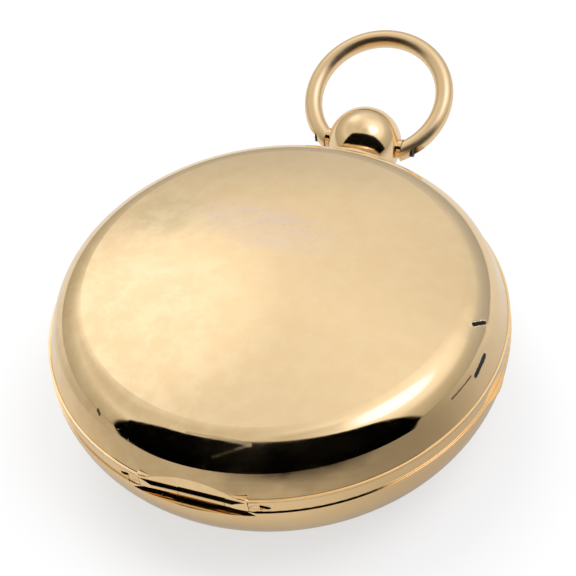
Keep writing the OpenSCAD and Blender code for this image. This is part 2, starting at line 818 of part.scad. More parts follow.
// The round part of the watch that the balance sweeps, and its cock's foot
module balance_well(d0, d1, grow = 0) {
    rod_d(balance_r + 0.6 + air + grow, d0, d1, balance_p);
}

module dial_plate() {
    color("burlywood")
        difference() {
            union() {
                rod_d(plate_r, -plate_t, 0);
                rod(0.3, plate_front_z - 0.3, plate_front_z + 1.05, motion_p);
            }
            plate_hole(1.0, -plate_t, 0, [0, 0]);
            plate_hole(pivot_r, -plate_t, 0, third_p);
            plate_hole(pivot_r, -plate_t, 0, escape_p);
            plate_hole(pivot_r + 0.05, -plate_t, 0, fourth_p);
            plate_hole(0.7, -plate_t, 0, barrel_p);
            plate_hole(pivot_r, -plate_t, 0, balance_p);
            for (p = [third_p, escape_p, balance_p])
                rod_d(jewel_r + seat_fit, -plate_t - cut, -plate_t + jewel_t, p);
            for (a = case_screw_dirs)
                rod(case_screw_r + seat_fit, plate_z - cut, up_z + cut,
                    polar(case_screw_at_r, a));
            for (a = case_screw_dirs)
                rod(case_screw_head_r + 0.1, plate_front_z - 0.02, up_z + collar_h + cut,
                    polar(case_screw_at_r, a));
            for (a = pillar_dirs)
                rod_d(0.5 + seat_fit, -plate_t - cut, 0.1, polar(pillar_at_r, a));
            rod_d(0.5 + seat_fit, -plate_t * 0.7, 0.1, cock_p);
            rod_d(0.45 + seat_fit, -plate_t * 0.7, 0.1, escape_foot_p);
            rod_d(0.4 + seat_fit, -plate_t * 0.7, 0.1, detent_foot_p);
            for (a = dial_feet_dirs)
                rod_d(0.5 + seat_fit, -plate_t - cut, 0.1, polar(dial_feet_r, a));
        }
}

dial_feet_dirs = [80, 200, 310];
dial_feet_r = 19.6;

module train_plate() {
    d0 = train_space;
    d1 = train_plate_d;
    color("burlywood")
        difference() {
            rod_d(train_plate_r, d0, d1);
            balance_well(d0 - 1, d1 + 1);
            rod_d(cock_foot_r + air, d0 - 1, d1 + 1, cock_p);
            translate([0, 0, depth(d1 + 1)]) linear_extrude(train_plate_t + 2)
                polygon([[-30, 5.2], cock_p + [0, cock_foot_r + 1.4], [-8.2, 3.2],
                         [-3.6, -1.6], [-1.7, -8.2], [-1.7, -30], [-30, -30]]);
            plate_hole(0.75, d0, d1, [0, 0]);
            plate_hole(pivot_r, d0, d1, third_p);
            plate_hole(pivot_r, d0, d1, fourth_p);
            plate_hole(1.0, d0, d1, barrel_p);
            for (p = [third_p, fourth_p])
                rod_d(jewel_r + seat_fit, d1 - jewel_t, d1 + cut, p);
            for (a = pillar_dirs)
                rod_d(0.5 + seat_fit, d0 - cut, d1 + cut, polar(pillar_at_r, a));
            rod_d(0.35 + seat_fit, d0 - cut, d1 + cut, click_p);
            rod_d(0.3 + seat_fit, d0 - cut, d1 + cut, click_spring_p);
        }
}

module plate_pillars() {
    color("burlywood")
        for (a = pillar_dirs) {
            p = polar(pillar_at_r, a);
            rod_d(pillar_r, seat_fit, train_space - seat_fit, p);
            rod_d(0.5, -plate_t + 0.2, train_space + 0.2, p);
        }
}

module plate_screws() {
    color("steelblue")
        for (a = pillar_dirs) {
            p = polar(pillar_at_r, a);
            rod_d(0.5, train_space + 0.22, train_plate_d + 0.1, p);
            screw_head(1.0, depth(train_plate_d + 0.6), 0.58, p, a);
        }
}

module case_screws() {
    color("steelblue")
        for (a = case_screw_dirs) {
            p = polar(case_screw_at_r, a);
            rod(case_screw_r, plate_z - 0.8, plate_front_z + 0.1, p);
            difference() {
                rod(case_screw_head_r, plate_front_z, plate_front_z + 0.45, p);
                translate([p.x, p.y, plate_front_z + 0.45]) rotate([0, 0, a])
                    cube([4, 0.3, 0.4], center = true);
            }
        }
}

// Barrel and winding work
barrel_drum_r = barrel_m * (barrel_n / 2 - 2.2);
barrel_wall = 0.5;
square_tip_z = cover_wall + dome_gap + dome_wall + 1.1;
arbor_r = 0.9;
core_r = 2.4;
ratchet_r = 3.4;
ratchet_n = 24;
ratchet_d = train_plate_d + 0.1;
ratchet_t = 0.5;

module barrel() {
    d1 = barrel_low_d;
    color("gold")
        difference() {
            union() {
                rod_d(barrel_drum_r, barrel_top_d, d1, barrel_p);
                translate([barrel_p.x, barrel_p.y, depth(barrel_top_d + barrel_teeth_t)])
                    rotate([0, 0, barrel_dir + 180]) linear_extrude(barrel_teeth_t)
                        polygon(wheel_points(barrel_n, barrel_m, centre_pin_n));
            }
            rod_d(barrel_drum_r - barrel_wall, barrel_top_d + barrel_teeth_t, d1 + cut, barrel_p);
            rod_d(arbor_r - 0.2 + run_fit, -1, d1 + cut, barrel_p);
        }
}

module barrel_cover() {
    color("gold")
        difference() {
            rod_d(barrel_drum_r - barrel_wall - seat_fit, barrel_low_d - 0.4, barrel_low_d,
                  barrel_p);
            rod_d(arbor_r + run_fit, 0, barrel_low_d + cut, barrel_p);
        }
}

module mainspring() {
    color("slategray")
        difference() {
            rod_d(barrel_drum_r - barrel_wall - 0.05, barrel_top_d + barrel_teeth_t + 0.1,
                  barrel_low_d - 0.5, barrel_p);
            rod_d(core_r + 0.1, 0, barrel_low_d + cut, barrel_p);
        }
}

module winding_arbor() {
    color("silver") {
        rod_d(arbor_r - 0.2, -plate_t * 0.8, barrel_low_d, barrel_p);
        rod_d(core_r, barrel_top_d + barrel_teeth_t + 0.1, barrel_low_d - 0.5, barrel_p);
        rod_d(arbor_r, barrel_low_d - 0.6, ratchet_d, barrel_p);
        translate([barrel_p.x, barrel_p.y, square_tip_z])
            linear_extrude(depth(ratchet_d) - square_tip_z) square(square_w, center = true);
    }
}

module ratchet_wheel() {
    points = [for (i = [0:ratchet_n - 1]) let (c = 360 * i / ratchet_n, s = 360 / ratchet_n)
                each [polar(ratchet_r - 0.45, c), polar(ratchet_r, c),
                      polar(ratchet_r - 0.2, c + s * 0.5)]];
    color("silver")
        translate([barrel_p.x, barrel_p.y, depth(ratchet_d + ratchet_t)])
            linear_extrude(ratchet_t - 0.02)
                difference() {
                    polygon(points);
                    square(square_w + 2 * seat_fit, center = true);
                }
}

click_dir = 20;
click_a = ratchet_r + 2.0;
click_p = barrel_p + polar(click_a, click_dir);
click_tip_dir = click_dir + 40;
click_spring_p = barrel_p + polar(click_a + 1.6, click_dir + 45);

module click() {
    tip = barrel_p + polar(ratchet_r + 0.04, click_tip_dir);
    back = barrel_p + polar(ratchet_r + 0.75, click_tip_dir - 1);
    d1 = ratchet_d + ratchet_t;
    color("silver")
        difference() {
            union() {
                rod_d(0.85, ratchet_d + 0.05, d1, click_p);
                translate([0, 0, depth(d1)]) linear_extrude(ratchet_t - 0.05)
                    polygon([click_p + polar(0.75, click_dir + 150), tip, back,
                             click_p + polar(0.75, click_dir + 20)]);
            }
            rod_d(0.38, ratchet_d - cut, d1 + cut, click_p);
        }
}

module click_spring() {
    d1 = ratchet_d + ratchet_t;
    color("steelblue")
        difference() {
            union() {
                rod_d(0.8, ratchet_d + 0.05, d1, click_spring_p);
                translate([0, 0, depth(d1)]) linear_extrude(ratchet_t - 0.2)
                    polygon([click_spring_p + polar(0.7, click_dir + 200),
                             barrel_p + polar(ratchet_r + 1.03, click_tip_dir - 8),
                             barrel_p + polar(ratchet_r + 1.18, click_tip_dir - 8),
                             click_spring_p + polar(0.7, click_dir + 240)]);
            }
            rod_d(0.3, ratchet_d - cut, d1 + cut, click_spring_p);
        }
}

// Train
module centre_wheel() {
    third_dir = atan2(third_p.y, third_p.x);
    color("gold") {
        wheel(centre_n, centre_m, third_pin_n, centre_d, wheel_t, third_dir, [0, 0], 5, 1.3, 0.7);
        pinion(centre_pin_n, barrel_m, 0.12, 1.25, barrel_dir, [0, 0]);
        rod_d(0.85, 1.2, centre_d + 0.1);
        rod_d(0.75, centre_d, train_plate_d + 0.05);
        rod_d(0.95, -0.05, 0.13);
        rod_d(0.5, -plate_t - motion_space - dial_t - 1.2, 0.1);
        rod_d(1.0, centre_d + wheel_t - 0.01, train_space - 0.05);
        translate([0, 0, square_tip_z])
            linear_extrude(depth(train_plate_d) - square_tip_z)
                square(square_w * 0.7, center = true);
    }
}

module third_wheel() {
    back_dir = atan2(-third_p.y, -third_p.x);
    fourth_dir = atan2(fourth_p.y - third_p.y, fourth_p.x - third_p.x);
    color("gold") {
        wheel(third_n, third_m, fourth_pin_n, third_d, wheel_t, fourth_dir, third_p, 5, 0.9, 0.6);
        pinion(third_pin_n, centre_m, third_d + wheel_t - 0.01, centre_d + wheel_t + 0.1,
               back_dir, third_p);
        rod_d(0.35, 0.15, third_d + 0.1, third_p);
        rod_d(pivot_r, -plate_t + 0.1, train_plate_d - 0.1, third_p);
    }
}

module fourth_wheel() {
    back_dir = atan2(third_p.y - fourth_p.y, third_p.x - fourth_p.x);
    color("gold") {
        wheel(fourth_n, fourth_m, escape_pin_n, fourth_d, wheel_t - 0.1, escape_dir, fourth_p,
              5, 0.8, 0.55);
        pinion(fourth_pin_n, third_m, third_d - 0.35, third_d + wheel_t + 0.3, back_dir, fourth_p);
        rod_d(0.4, fourth_d - 0.3, third_d - 0.3, fourth_p);
        rod_d(0.35, third_d, train_space - 0.15, fourth_p);
        rod_d(pivot_r, 0, train_plate_d - 0.1, fourth_p);
        rod_d(pivot_r + 0.05, -plate_t - motion_space - dial_t - 0.3, fourth_d, fourth_p);
    }
}

// Escape wheel with slender raked teeth, one tip a little past the line to the balance
escape_phase = balance_dir + 12.65;

module escape_wheel() {
    root = escape_r - 0.85;
    outline = [for (i = [0:escape_n - 1]) let (c = escape_phase + 360 * i / escape_n)
                each [polar(root, c - 10), polar(escape_r, c - 1.3), polar(escape_r, c),
                      polar(root, c - 4.5)]];
    color("gold") {
        translate([escape_p.x, escape_p.y, depth(escape_d + wheel_t)])
            linear_extrude(wheel_t)
                difference() {
                    polygon(outline);
                    difference() {
                        circle(root - 0.55);
                        circle(0.75);
                        for (a = [0:90:270])
                            rotate([0, 0, a]) translate([0, -0.2]) square([root, 0.4]);
                    }
                }
        pinion(escape_pin_n, fourth_m, fourth_d - 0.35, escape_d, escape_dir + 180, escape_p);
        rod_d(0.3, 0.1, escape_cock_d - 0.1, escape_p);
        rod_d(pivot_r, -plate_t + 0.1, escape_cock_d + escape_cock_t - 0.05, escape_p);
    }
}

module escape_cock() {
    d0 = escape_cock_d;
    d1 = d0 + escape_cock_t;
    color("burlywood")
        difference() {
            union() {
                rod_d(1.2, d0, d1, escape_p);
                rod_d(1.4, 0.02, d1, escape_foot_p);
                translate([0, 0, depth(d1)]) linear_extrude(d1 - d0)
                    polygon([escape_p + polar(1.1, 205), escape_p + polar(1.1, 25),
                             escape_foot_p + polar(1.2, 25), escape_foot_p + polar(1.2, 205)]);
            }
            plate_hole(pivot_r, d0, d1, escape_p);
            rod_d(0.45 + seat_fit, 0, d1 + cut, escape_foot_p);
            rod_d(0.85, d1 - 0.2, d1 + cut, escape_foot_p);
        }
}

detent_foot_p = stone_p - polar(detent_len + 0.9, detent_dir);

// The locking stone stands just clear of the teeth, as when the balance has lifted it
module detent() {
    low = depth(detent_d + detent_h);
    color("steelblue")
        translate([stone_p.x, stone_p.y, 0]) rotate([0, 0, detent_dir]) {
            translate([-detent_len + 1.2, -detent_t / 2, low])
                cube([detent_len - 1.2 + detent_reach, detent_t, detent_h]);
            // thin root that bends
            translate([-detent_len - 0.3, -detent_blade_t / 2, low])
                cube([1.6, detent_blade_t, detent_h]);
            translate([0, 0, low]) cylinder(r = stone_r, h = detent_d + detent_h - escape_d);
        }
}

module detent_foot() {
    color("steelblue")
        difference() {
            rod_d(0.9, 0.02, detent_d + detent_h, detent_foot_p);
            translate([detent_foot_p.x, detent_foot_p.y, depth(detent_d + detent_h + 0.1)])
                rotate([0, 0, detent_dir]) translate([0, -0.07, 0]) cube([2, 0.14, 0.52]);
        }
}

module cock_screws() {
    color("steelblue") {
        rod_d(0.45, -plate_t * 0.6, escape_cock_d + escape_cock_t - 0.1, escape_foot_p);
        screw_head(0.8, depth(escape_cock_d + escape_cock_t + 0.05), 0.23, escape_foot_p, 10);
        rod_d(0.5, -plate_t * 0.6, cock_d + cock_t - 0.2, cock_p);
        screw_head(1.0, depth(cock_d + cock_t), 0.33, cock_p, 60);
    }
}

// Balance
balance_turn = pallet_dir;
staff_pivot_r = 0.12;
collet_r = 0.8;

module balance_wheel() {
    ri = balance_r - rim_w;
    color("gold")
        translate([balance_p.x, balance_p.y, depth(balance_d + rim_t)])
            rotate([0, 0, balance_turn]) linear_extrude(rim_t)
                difference() {
                    union() {
                        difference() {
                            circle(balance_r);
                            circle(ri);
                            for (a = [0, 180])
                                rotate([0, 0, a + 12]) translate([ri - 0.5, -0.15])
                                    square([rim_w + 1, 0.3]);
                        }
                        translate([-ri - 0.2, -0.45]) square([2 * ri + 0.4, 0.9]);
                        circle(1.3);
                    }
                    circle(0.5);
                }
}

module balance_weights() {
    color("gold")
        for (a = [0, 50, 95, 130, 180, 230, 275, 310])
            translate([balance_p.x, balance_p.y, depth(balance_d + rim_t / 2)])
                rotate([0, 0, balance_turn + a]) rotate([0, 90, 0])
                    translate([0, 0, balance_r])
                        cylinder(r = (a % 180 == 0) ? 0.28 : 0.38, h = weight_h);
}

module balance_staff() {
    color("silver") {
        rod_d(0.5 - seat_fit, escape_d - 0.5, spring_top_d, balance_p);
        rod_d(collet_r, spring_top_d - 0.15, spring_top_d + 0.35, balance_p);
        rod_d(0.3, 0.2, cock_d - 0.2, balance_p);
        rod_d(staff_pivot_r, -plate_t + 0.1, cock_d + cock_t - 0.1, balance_p);
    }
}

module impulse_roller() {
    color("silver")
        difference() {
            union() {
                rod_d(roller_r, roller_d, roller_d + wheel_t, balance_p);
                translate([balance_p.x, balance_p.y, depth(roller_d + wheel_t)])
                    rotate([0, 0, pallet_dir]) translate([roller_r - 0.5, -0.12, 0])
                        cube([pallet_r - roller_r + 0.5, 0.24, wheel_t]);
            }
            rod_d(0.5, 0, cock_d, balance_p);
        }
}

module discharge_roller() {
    d0 = roller_d + wheel_t + 0.05;
    d1 = d0 + 0.35;
    color("silver")
        difference() {
            union() {
                rod_d(0.75, d0, d1, balance_p);
                translate([balance_p.x, balance_p.y, depth(d1)]) rotate([0, 0, pallet_dir + 100])
                    translate([0.6, -0.08, 0]) cube([0.45, 0.16, d1 - d0]);
            }
            rod_d(0.5, 0, cock_d, balance_p);
        }
}

// Balance spring, one unbroken helical tube that curls in to the collet
curl_rings = 8;
tube_sides = 6;
tube_r = spring_wire / 2;
helix_n = curl_rings * spring_turns;
inward_n = 6;
spring_n = helix_n + inward_n;
collet_reach = collet_r + 0.03;

function spring_at_r(i) =
    i <= helix_n ? spring_r
    : spring_r - (spring_r - collet_reach - spring_wire) * (1 - cos(180 * (i - helix_n) / inward_n)) / 2;
function spring_point(i) =
    let (a = 360 * i / curl_rings) [spring_at_r(i) * cos(a), spring_at_r(i) * sin(a),
                                    spring_pitch * i / curl_rings];
spring_curl = [for (i = [0:spring_n]) spring_point(i)];
curl_end_a = 360 * spring_n / curl_rings;
spring_path = concat([spring_curl[0] + [0, -spring_wire, 0]], spring_curl,
                     [spring_curl[spring_n] - spring_wire * [cos(curl_end_a), sin(curl_end_a), 0]]);
ring_count = len(spring_path);

// Outward direction of the tube's section at a ring
function out_dir(i) =
    let (a = 360 * max(0, min(spring_n, i - 1)) / curl_rings)
    i == ring_count - 1 ? [-sin(a), cos(a), 0] * -1
    : i == ring_count - 2 ? [cos(a) + sin(a), sin(a) - cos(a), 0] / sqrt(2) : [cos(a), sin(a), 0];
spring_points = [for (i = [0:ring_count - 1]) for (k = [0:tube_sides - 1])
    spring_path[i] + tube_r * (cos(60 * k) * out_dir(i) + sin(60 * k) * [0, 0, 1])];
spring_skin = [for (i = [0:ring_count - 2]) for (k = [0:tube_sides - 1])
    let (a = i * tube_sides + k, b = i * tube_sides + (k + 1) % tube_sides)
    each [[a, b, b + tube_sides], [a, b + tube_sides, a + tube_sides]]];
last_ring = (ring_count - 1) * tube_sides;
spring_caps = [for (k = [1:tube_sides - 2])
    each [[0, k + 1, k], [last_ring, last_ring + k, last_ring + k + 1]]];
spring_gap = min([for (i = [0:ring_count - 1]) for (j = [i + curl_rings - 2:1:ring_count - 1])
    norm(spring_path[i] - spring_path[j])]) - spring_wire;
echo(str("least gap between turns of the balance spring: ", spring_gap));

module balance_spring() {
    color("steelblue")
        translate([balance_p.x, balance_p.y, depth(spring_top_d + spring_h)])
            polyhedron(points = spring_points, faces = concat(spring_skin, spring_caps));
}

module spring_stud() {
    color("silver")
        translate([balance_p.x + spring_r, balance_p.y - spring_wire - 0.5,
                   depth(cock_d)])
            cylinder(r = 0.45, h = cock_d - spring_top_d - spring_h + 0.2);
}

module balance_cock() {
    d0 = cock_d;
    d1 = cock_d + cock_t;
    side = cock_dir - 90;
    color("burlywood")
        difference() {
            union() {
                rod_d(cock_end_r, d0, d1, balance_p);
                rod_d(cock_foot_r, 0.02, d1, cock_p);
                translate([0, 0, depth(d1)]) linear_extrude(cock_t)
                    polygon([balance_p + polar(1.6, side), cock_p + polar(cock_foot_r, side),
                             cock_p - polar(cock_foot_r, side), balance_p - polar(1.6, side)]);
            }
            rod_d(0.5 + seat_fit, 0, d1 + cut, cock_p);
            rod_d(1.05, d1 - 0.35, d1 + cut, cock_p);
            rod_d(jewel_r + seat_fit, d0 - cut, d1 + cut, balance_p);
        }
}

module jewels() {
    color("crimson") {
        for (p = [third_p, escape_p])
            ring(jewel_r, pivot_r + run_fit, plate_front_z - jewel_t, plate_front_z, p);
        ring(jewel_r, staff_pivot_r + run_fit, plate_front_z - jewel_t, plate_front_z, balance_p);
        for (p = [third_p, fourth_p])
            ring(jewel_r, pivot_r + run_fit, depth(train_plate_d),
                 depth(train_plate_d - jewel_t), p);
        ring(jewel_r, staff_pivot_r + run_fit, depth(cock_d + cock_t), depth(cock_d + 0.1),
             balance_p);
    }
}

// Motion work and hands
cannon_z = plate_front_z + 0.08;
minute_z = cannon_z;
hour_z = cannon_z + 0.5;
dial_top_z = dial_z + dial_t;
seconds_hand_z = dial_top_z + 0.15;
hour_hand_z = dial_top_z + 0.5;
minute_hand_z = dial_top_z + 0.9;
hand_t = 0.15;
cannon_r = 0.78;
hour_pipe_r = 1.15;

module cannon_pinion() {
    color("silver")
        difference() {
            union() {
                rod(cannon_r, cannon_z, minute_hand_z);
                translate([0, 0, cannon_z]) rotate([0, 0, motion_dir + 180 / cannon_n])
                    linear_extrude(0.4) polygon(pinion_points(cannon_n, cannon_m));
            }
            rod(0.5 + seat_fit / 2, cannon_z - cut, minute_hand_z + cut);
        }
}

module minute_wheel() {
    color("gold")
        difference() {
            union() {
                translate([motion_p.x, motion_p.y, minute_z]) rotate([0, 0, motion_dir + 180])
                    linear_extrude(0.35) polygon(wheel_points(minute_n, cannon_m, cannon_n));
                translate([motion_p.x, motion_p.y, minute_z])
                    rotate([0, 0, motion_dir + 180 + 180 / minute_pin_n])
                        linear_extrude(0.9) polygon(pinion_points(minute_pin_n, hour_m));
            }
            rod(0.3 + 0.04, 0, dial_z, motion_p);
        }
}

module hour_wheel() {
    color("gold")
        difference() {
            union() {
                translate([0, 0, hour_z]) rotate([0, 0, motion_dir])
                    linear_extrude(0.3) polygon(wheel_points(hour_n, hour_m, minute_pin_n));
                rod(hour_pipe_r, hour_z, hour_hand_z);
            }
            rod(cannon_r + 0.05, 0, minute_hand_z + cut);
        }
}

dial_r = glass_r - 0.9;

module dial() {
    color("white") {
        difference() {
            rod(dial_r, dial_z, dial_top_z);
            rod(hour_pipe_r + 0.2, dial_z - cut, dial_top_z + cut);
            rod(pivot_r + 0.2, dial_z - cut, dial_top_z + cut, fourth_p);
            ring(4.6, 4.45, dial_top_z - 0.06, dial_top_z + cut, fourth_p);
        }
        for (a = dial_feet_dirs) {
            rod(0.5, plate_z + 0.2, dial_z + 0.1, polar(dial_feet_r, a));
            rod(1.0, plate_front_z + 0.02, dial_z + 0.1, polar(dial_feet_r, a));
        }
    }
}

// Flat hand with a round boss, from the middle towards +Y
module hand(len, w, z, boss, hole) {
    difference() {
        union() {
            rod(boss, z, z + hand_t);
            rod(w * 0.9, z, z + hand_t, [0, len * 0.6]);
            translate([0, 0, z]) linear_extrude(hand_t)
                polygon([[-w / 2, boss * 0.7], [-w * 0.35, len * 0.62], [0, len],
                         [w * 0.35, len * 0.62], [w / 2, boss * 0.7]]);
        }
        rod(hole, z - cut, z + cut);
    }
}

module hour_hand() {
    color("midnightblue") rotate([0, 0, 50])
        hand(dial_r * 0.56, 1.0, hour_hand_z + 0.01, 1.6, cannon_r + 0.06);
}

module minute_hand() {
    color("midnightblue") rotate([0, 0, -60])
        hand(dial_r * 0.88, 0.8, minute_hand_z + 0.01, 1.2, 0.5 + seat_fit / 2);
}

module seconds_hand() {
    color("midnightblue")
        translate([fourth_p.x, fourth_p.y, 0])
            hand(3.9, 0.3, seconds_hand_z, 0.5, pivot_r + 0.05 + seat_fit / 2);
}

case_band();
front_joint_pin();
back_joint_pin();
front_cover();
back_cover();
inner_dome();
bezel();
glass();
pendant();
bow();
bow_screws();
push_piece();
lock_spring();
lift_spring();
spring_screws();
dial_plate();
train_plate();
plate_pillars();
plate_screws();
case_screws();
barrel();
barrel_cover();
mainspring();
winding_arbor();
ratchet_wheel();
click();
click_spring();
centre_wheel();
third_wheel();
fourth_wheel();
escape_wheel();
escape_cock();
cock_screws();
detent();
detent_foot();
balance_wheel();
balance_weights();
balance_staff();
impulse_roller();
discharge_roller();
balance_spring();
spring_stud();
balance_cock();
jewels();
cannon_pinion();
minute_wheel();
hour_wheel();
dial();
hour_hand();
minute_hand();
seconds_hand();
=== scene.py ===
"""Looks of the pocket chronometer: materials, dial painting, studio and camera."""

import json
import math

import bmesh
import bpy
from mathutils import Matrix, Vector


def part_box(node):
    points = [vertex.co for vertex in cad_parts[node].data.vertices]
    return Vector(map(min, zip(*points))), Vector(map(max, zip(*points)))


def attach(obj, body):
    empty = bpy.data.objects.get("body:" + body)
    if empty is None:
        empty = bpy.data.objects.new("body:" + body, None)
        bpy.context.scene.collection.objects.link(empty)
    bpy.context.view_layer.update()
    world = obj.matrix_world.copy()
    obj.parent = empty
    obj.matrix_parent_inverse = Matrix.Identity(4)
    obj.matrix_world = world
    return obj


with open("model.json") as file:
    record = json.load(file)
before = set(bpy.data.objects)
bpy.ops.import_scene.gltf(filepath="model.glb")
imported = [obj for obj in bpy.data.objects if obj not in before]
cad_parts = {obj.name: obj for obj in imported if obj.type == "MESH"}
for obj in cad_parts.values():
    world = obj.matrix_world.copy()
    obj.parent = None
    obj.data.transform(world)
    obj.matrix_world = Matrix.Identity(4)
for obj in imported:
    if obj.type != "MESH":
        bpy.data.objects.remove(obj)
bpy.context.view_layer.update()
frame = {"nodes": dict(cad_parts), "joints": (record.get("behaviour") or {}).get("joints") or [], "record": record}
NODES = frame["nodes"]
MM = 0.001


# Shader helpers

class Shader:
    """Short names for making and joining nodes in one node tree."""

    def __init__(self, tree):
        self.tree = tree
        tree.nodes.clear()

    def add(self, kind, inputs=None, **settings):
        node = self.tree.nodes.new(kind)
        for key, value in settings.items():
            setattr(node, key, value)
        for key, value in (inputs or {}).items():
            if isinstance(value, bpy.types.NodeSocket):
                self.tree.links.new(value, node.inputs[key])
            else:
                node.inputs[key].default_value = value
        return node

    def math(self, operation, a, b, clamp=False):
        return self.add("ShaderNodeMath", {0: a, 1: b}, operation=operation,
                        use_clamp=clamp).outputs[0]

    def times(self, a, b):
        return self.math("MULTIPLY", a, b)

    def plus(self, base, value, factor=None):
        """The base plus the value, or plus the value times the factor."""
        if factor is not None:
            value = self.times(value, factor)
        return self.math("ADD", base, value)

    def without(self, value):
        """What the value leaves of one."""
        return self.math("SUBTRACT", 1.0, value)

    def vector(self, operation, a, b):
        """The vector that a sum or a difference gives."""
        return self.add("ShaderNodeVectorMath", {0: a, 1: b},
                        operation=operation).outputs["Vector"]

    def scaled(self, vector, factor):
        return self.add("ShaderNodeVectorMath", {0: vector, "Scale": factor},
                        operation="SCALE").outputs["Vector"]

    def length(self, vector):
        return self.add("ShaderNodeVectorMath", {0: vector}, operation="LENGTH").outputs["Value"]

    def distance(self, a, b):
        return self.length(self.vector("SUBTRACT", a, b))

    def dot(self, vector, direction):
        return self.add("ShaderNodeVectorMath", {0: vector, 1: direction},
                        operation="DOT_PRODUCT").outputs["Value"]

    def smooth(self, value, low, high, out_low=0.0, out_high=1.0):
        """A smooth step from out_low at low to out_high at high."""
        return self.add("ShaderNodeMapRange",
                        {"Value": value, "From Min": low, "From Max": high,
                         "To Min": out_low, "To Max": out_high},
                        interpolation_type="SMOOTHSTEP").outputs["Result"]

    def mix(self, factor, a, b):
        """Colour a where the factor is 0 and b where it is 1."""
        a, b = ((*c, 1.0) if isinstance(c, tuple) else c for c in (a, b))
        return self.add("ShaderNodeMix", {0: factor, 6: a, 7: b},
                        data_type="RGBA").outputs[2]

    def noise(self, vector, scale, detail=2.0, roughness=0.5, distortion=0.0):
        return self.add("ShaderNodeTexNoise",
                        {"Vector": vector, "Scale": scale, "Detail": detail,
                         "Roughness": roughness, "Distortion": distortion}).outputs["Fac"]

    def stretched(self, vector, angle, scale):
        """The vector turned about Z and then scaled along each axis."""
        turned = self.add("ShaderNodeVectorRotate", {"Vector": vector, "Angle": angle},
                          rotation_type="Z_AXIS").outputs["Vector"]
        return self.add("ShaderNodeMapping",
                        {"Vector": turned, "Scale": scale}).outputs["Vector"]

    def lines(self, vector, angle, squeeze, scale):
        """Noise drawn out into fine lines that run at an angle about Z."""
        drawn = self.stretched(vector, -angle, (squeeze, 1.0, 1.0))
        return self.noise(drawn, scale, detail=1.0)

    def bump(self, height, strength, distance, normal=None):
        inputs = {"Height": height, "Strength": strength, "Distance": distance}
        if normal is not None:
            inputs["Normal"] = normal
        return self.add("ShaderNodeBump", inputs).outputs["Normal"]

    def surface(self, inputs):
        """Ends the tree in one Principled surface."""
        shader = self.add("ShaderNodeBsdfPrincipled", inputs)
        self.add("ShaderNodeOutputMaterial", {"Surface": shader.outputs["BSDF"]})


def unit(azimuth, elevation):
    """Direction from the object; azimuth 0 is towards six o'clock, 90 towards three."""
    a, e = math.radians(azimuth), math.radians(elevation)
    return Vector((math.sin(a) * math.cos(e), -math.cos(a) * math.cos(e), math.sin(e)))


def new_material(name):
    """A material, its empty node tree and the point on the object in that tree."""
    material = bpy.data.materials.new(name)
    material.use_nodes = True
    s = Shader(material.node_tree)
    return material, s, s.add("ShaderNodeTexCoord").outputs["Object"]


def new_object(name, data):
    obj = bpy.data.objects.new(name, data)
    bpy.context.scene.collection.objects.link(obj)
    return obj


# Polished gold

GOLD = (0.90, 0.66, 0.375)
GOLD_INNER = (0.90, 0.65, 0.38)
# Three sets of hairlines: angle in radians, squeeze along the line and noise scale
HAIRLINES = ((0.35, 0.03, 5200.0), (1.25, 0.035, 4300.0), (2.3, 0.03, 6100.0))
HAIR_EDGE, HAIR_DEPTH = (0.66, 0.82), 0.004 * MM
# Fine unevenness among them: how much finer than the haze, and its share of their depth
FINER, FINE_SHARE = 14, 0.3
# Where haze shows, how much of the paler colour it takes, and that colour's gain and lift
HAZE_EDGE, PALE_SHARE, PALE_GAIN, PALE_LIFT = (0.42, 0.72), 0.5, 1.06, 0.03


def worn_gold(name, color=GOLD, rough=0.07, haze=0.05, scratch=0.03, wear_scale=90.0,
              wear_and_light=None):
    """Polished gold alloy with soft smears of haze and hairline scratches."""
    material, s, p = new_material(name)
    smear = s.noise(p, wear_scale, detail=5.0, roughness=0.6, distortion=0.6)
    fine = s.noise(p, wear_scale * FINER, detail=3.0)
    first, second, third = (s.lines(p, *hairs) for hairs in HAIRLINES)
    hairs = s.math("MAXIMUM", s.math("MAXIMUM", first, second), third)
    marks = s.smooth(hairs, *HAIR_EDGE)
    patch = s.smooth(smear, *HAZE_EDGE)
    roughness = s.plus(rough, patch, haze)
    roughness = s.plus(roughness, s.times(marks, patch), haze)
    pale = tuple(min(1.0, c * PALE_GAIN + PALE_LIFT) for c in color)
    tint = s.mix(s.times(patch, PALE_SHARE), color, pale)
    normal = s.bump(s.plus(marks, fine, FINE_SHARE), scratch, HAIR_DEPTH)
    if wear_and_light:
        tint, roughness, normal = wear_and_light(s, p, tint, roughness, normal)
    s.surface({"Base Color": tint, "Metallic": 1.0, "Roughness": roughness,
               "Normal": normal})
    return material


# Wear and painted light on the lid. Places are points on its surface and widths are half widths,
# in mm. An edge is the pair of values between which a mark fades in; a range adds its levels at
# those values.
# Roughness and share say how strongly a mark changes the gold.

# Noise that frays the marks, and the brushing streaks: angle, squeeze and noise scale, and how
# far they wander
RAGGED_SCALE = 2600.0
STREAKS = (0.30, 0.07, 1500.0)
STREAK_RANGE, STREAK_ROUGH = (0.3, 0.7, -1.0, 1.0), 0.015
WANDER_SCALE, WANDER = 55.0, 3.0 * MM

# A patch rubbed dull and pinkish, longest across the lid
RUBBED_MIDDLE, RUBBED_ANGLE, RUBBED_SCALE = (-3.4, 6.6, 21.0), 0.12, (0.36, 1.0, 0.3)
RUBBED_EDGE, RUBBED_FRAY = (5.8 * MM, 2.2 * MM), 2.0 * MM
RUBBED_RANGE = (0.38, 0.62, 0.3, 1.0)
RUBBED_TINT, RUBBED_ROUGH = (0.87, 0.67, 0.50), 0.16
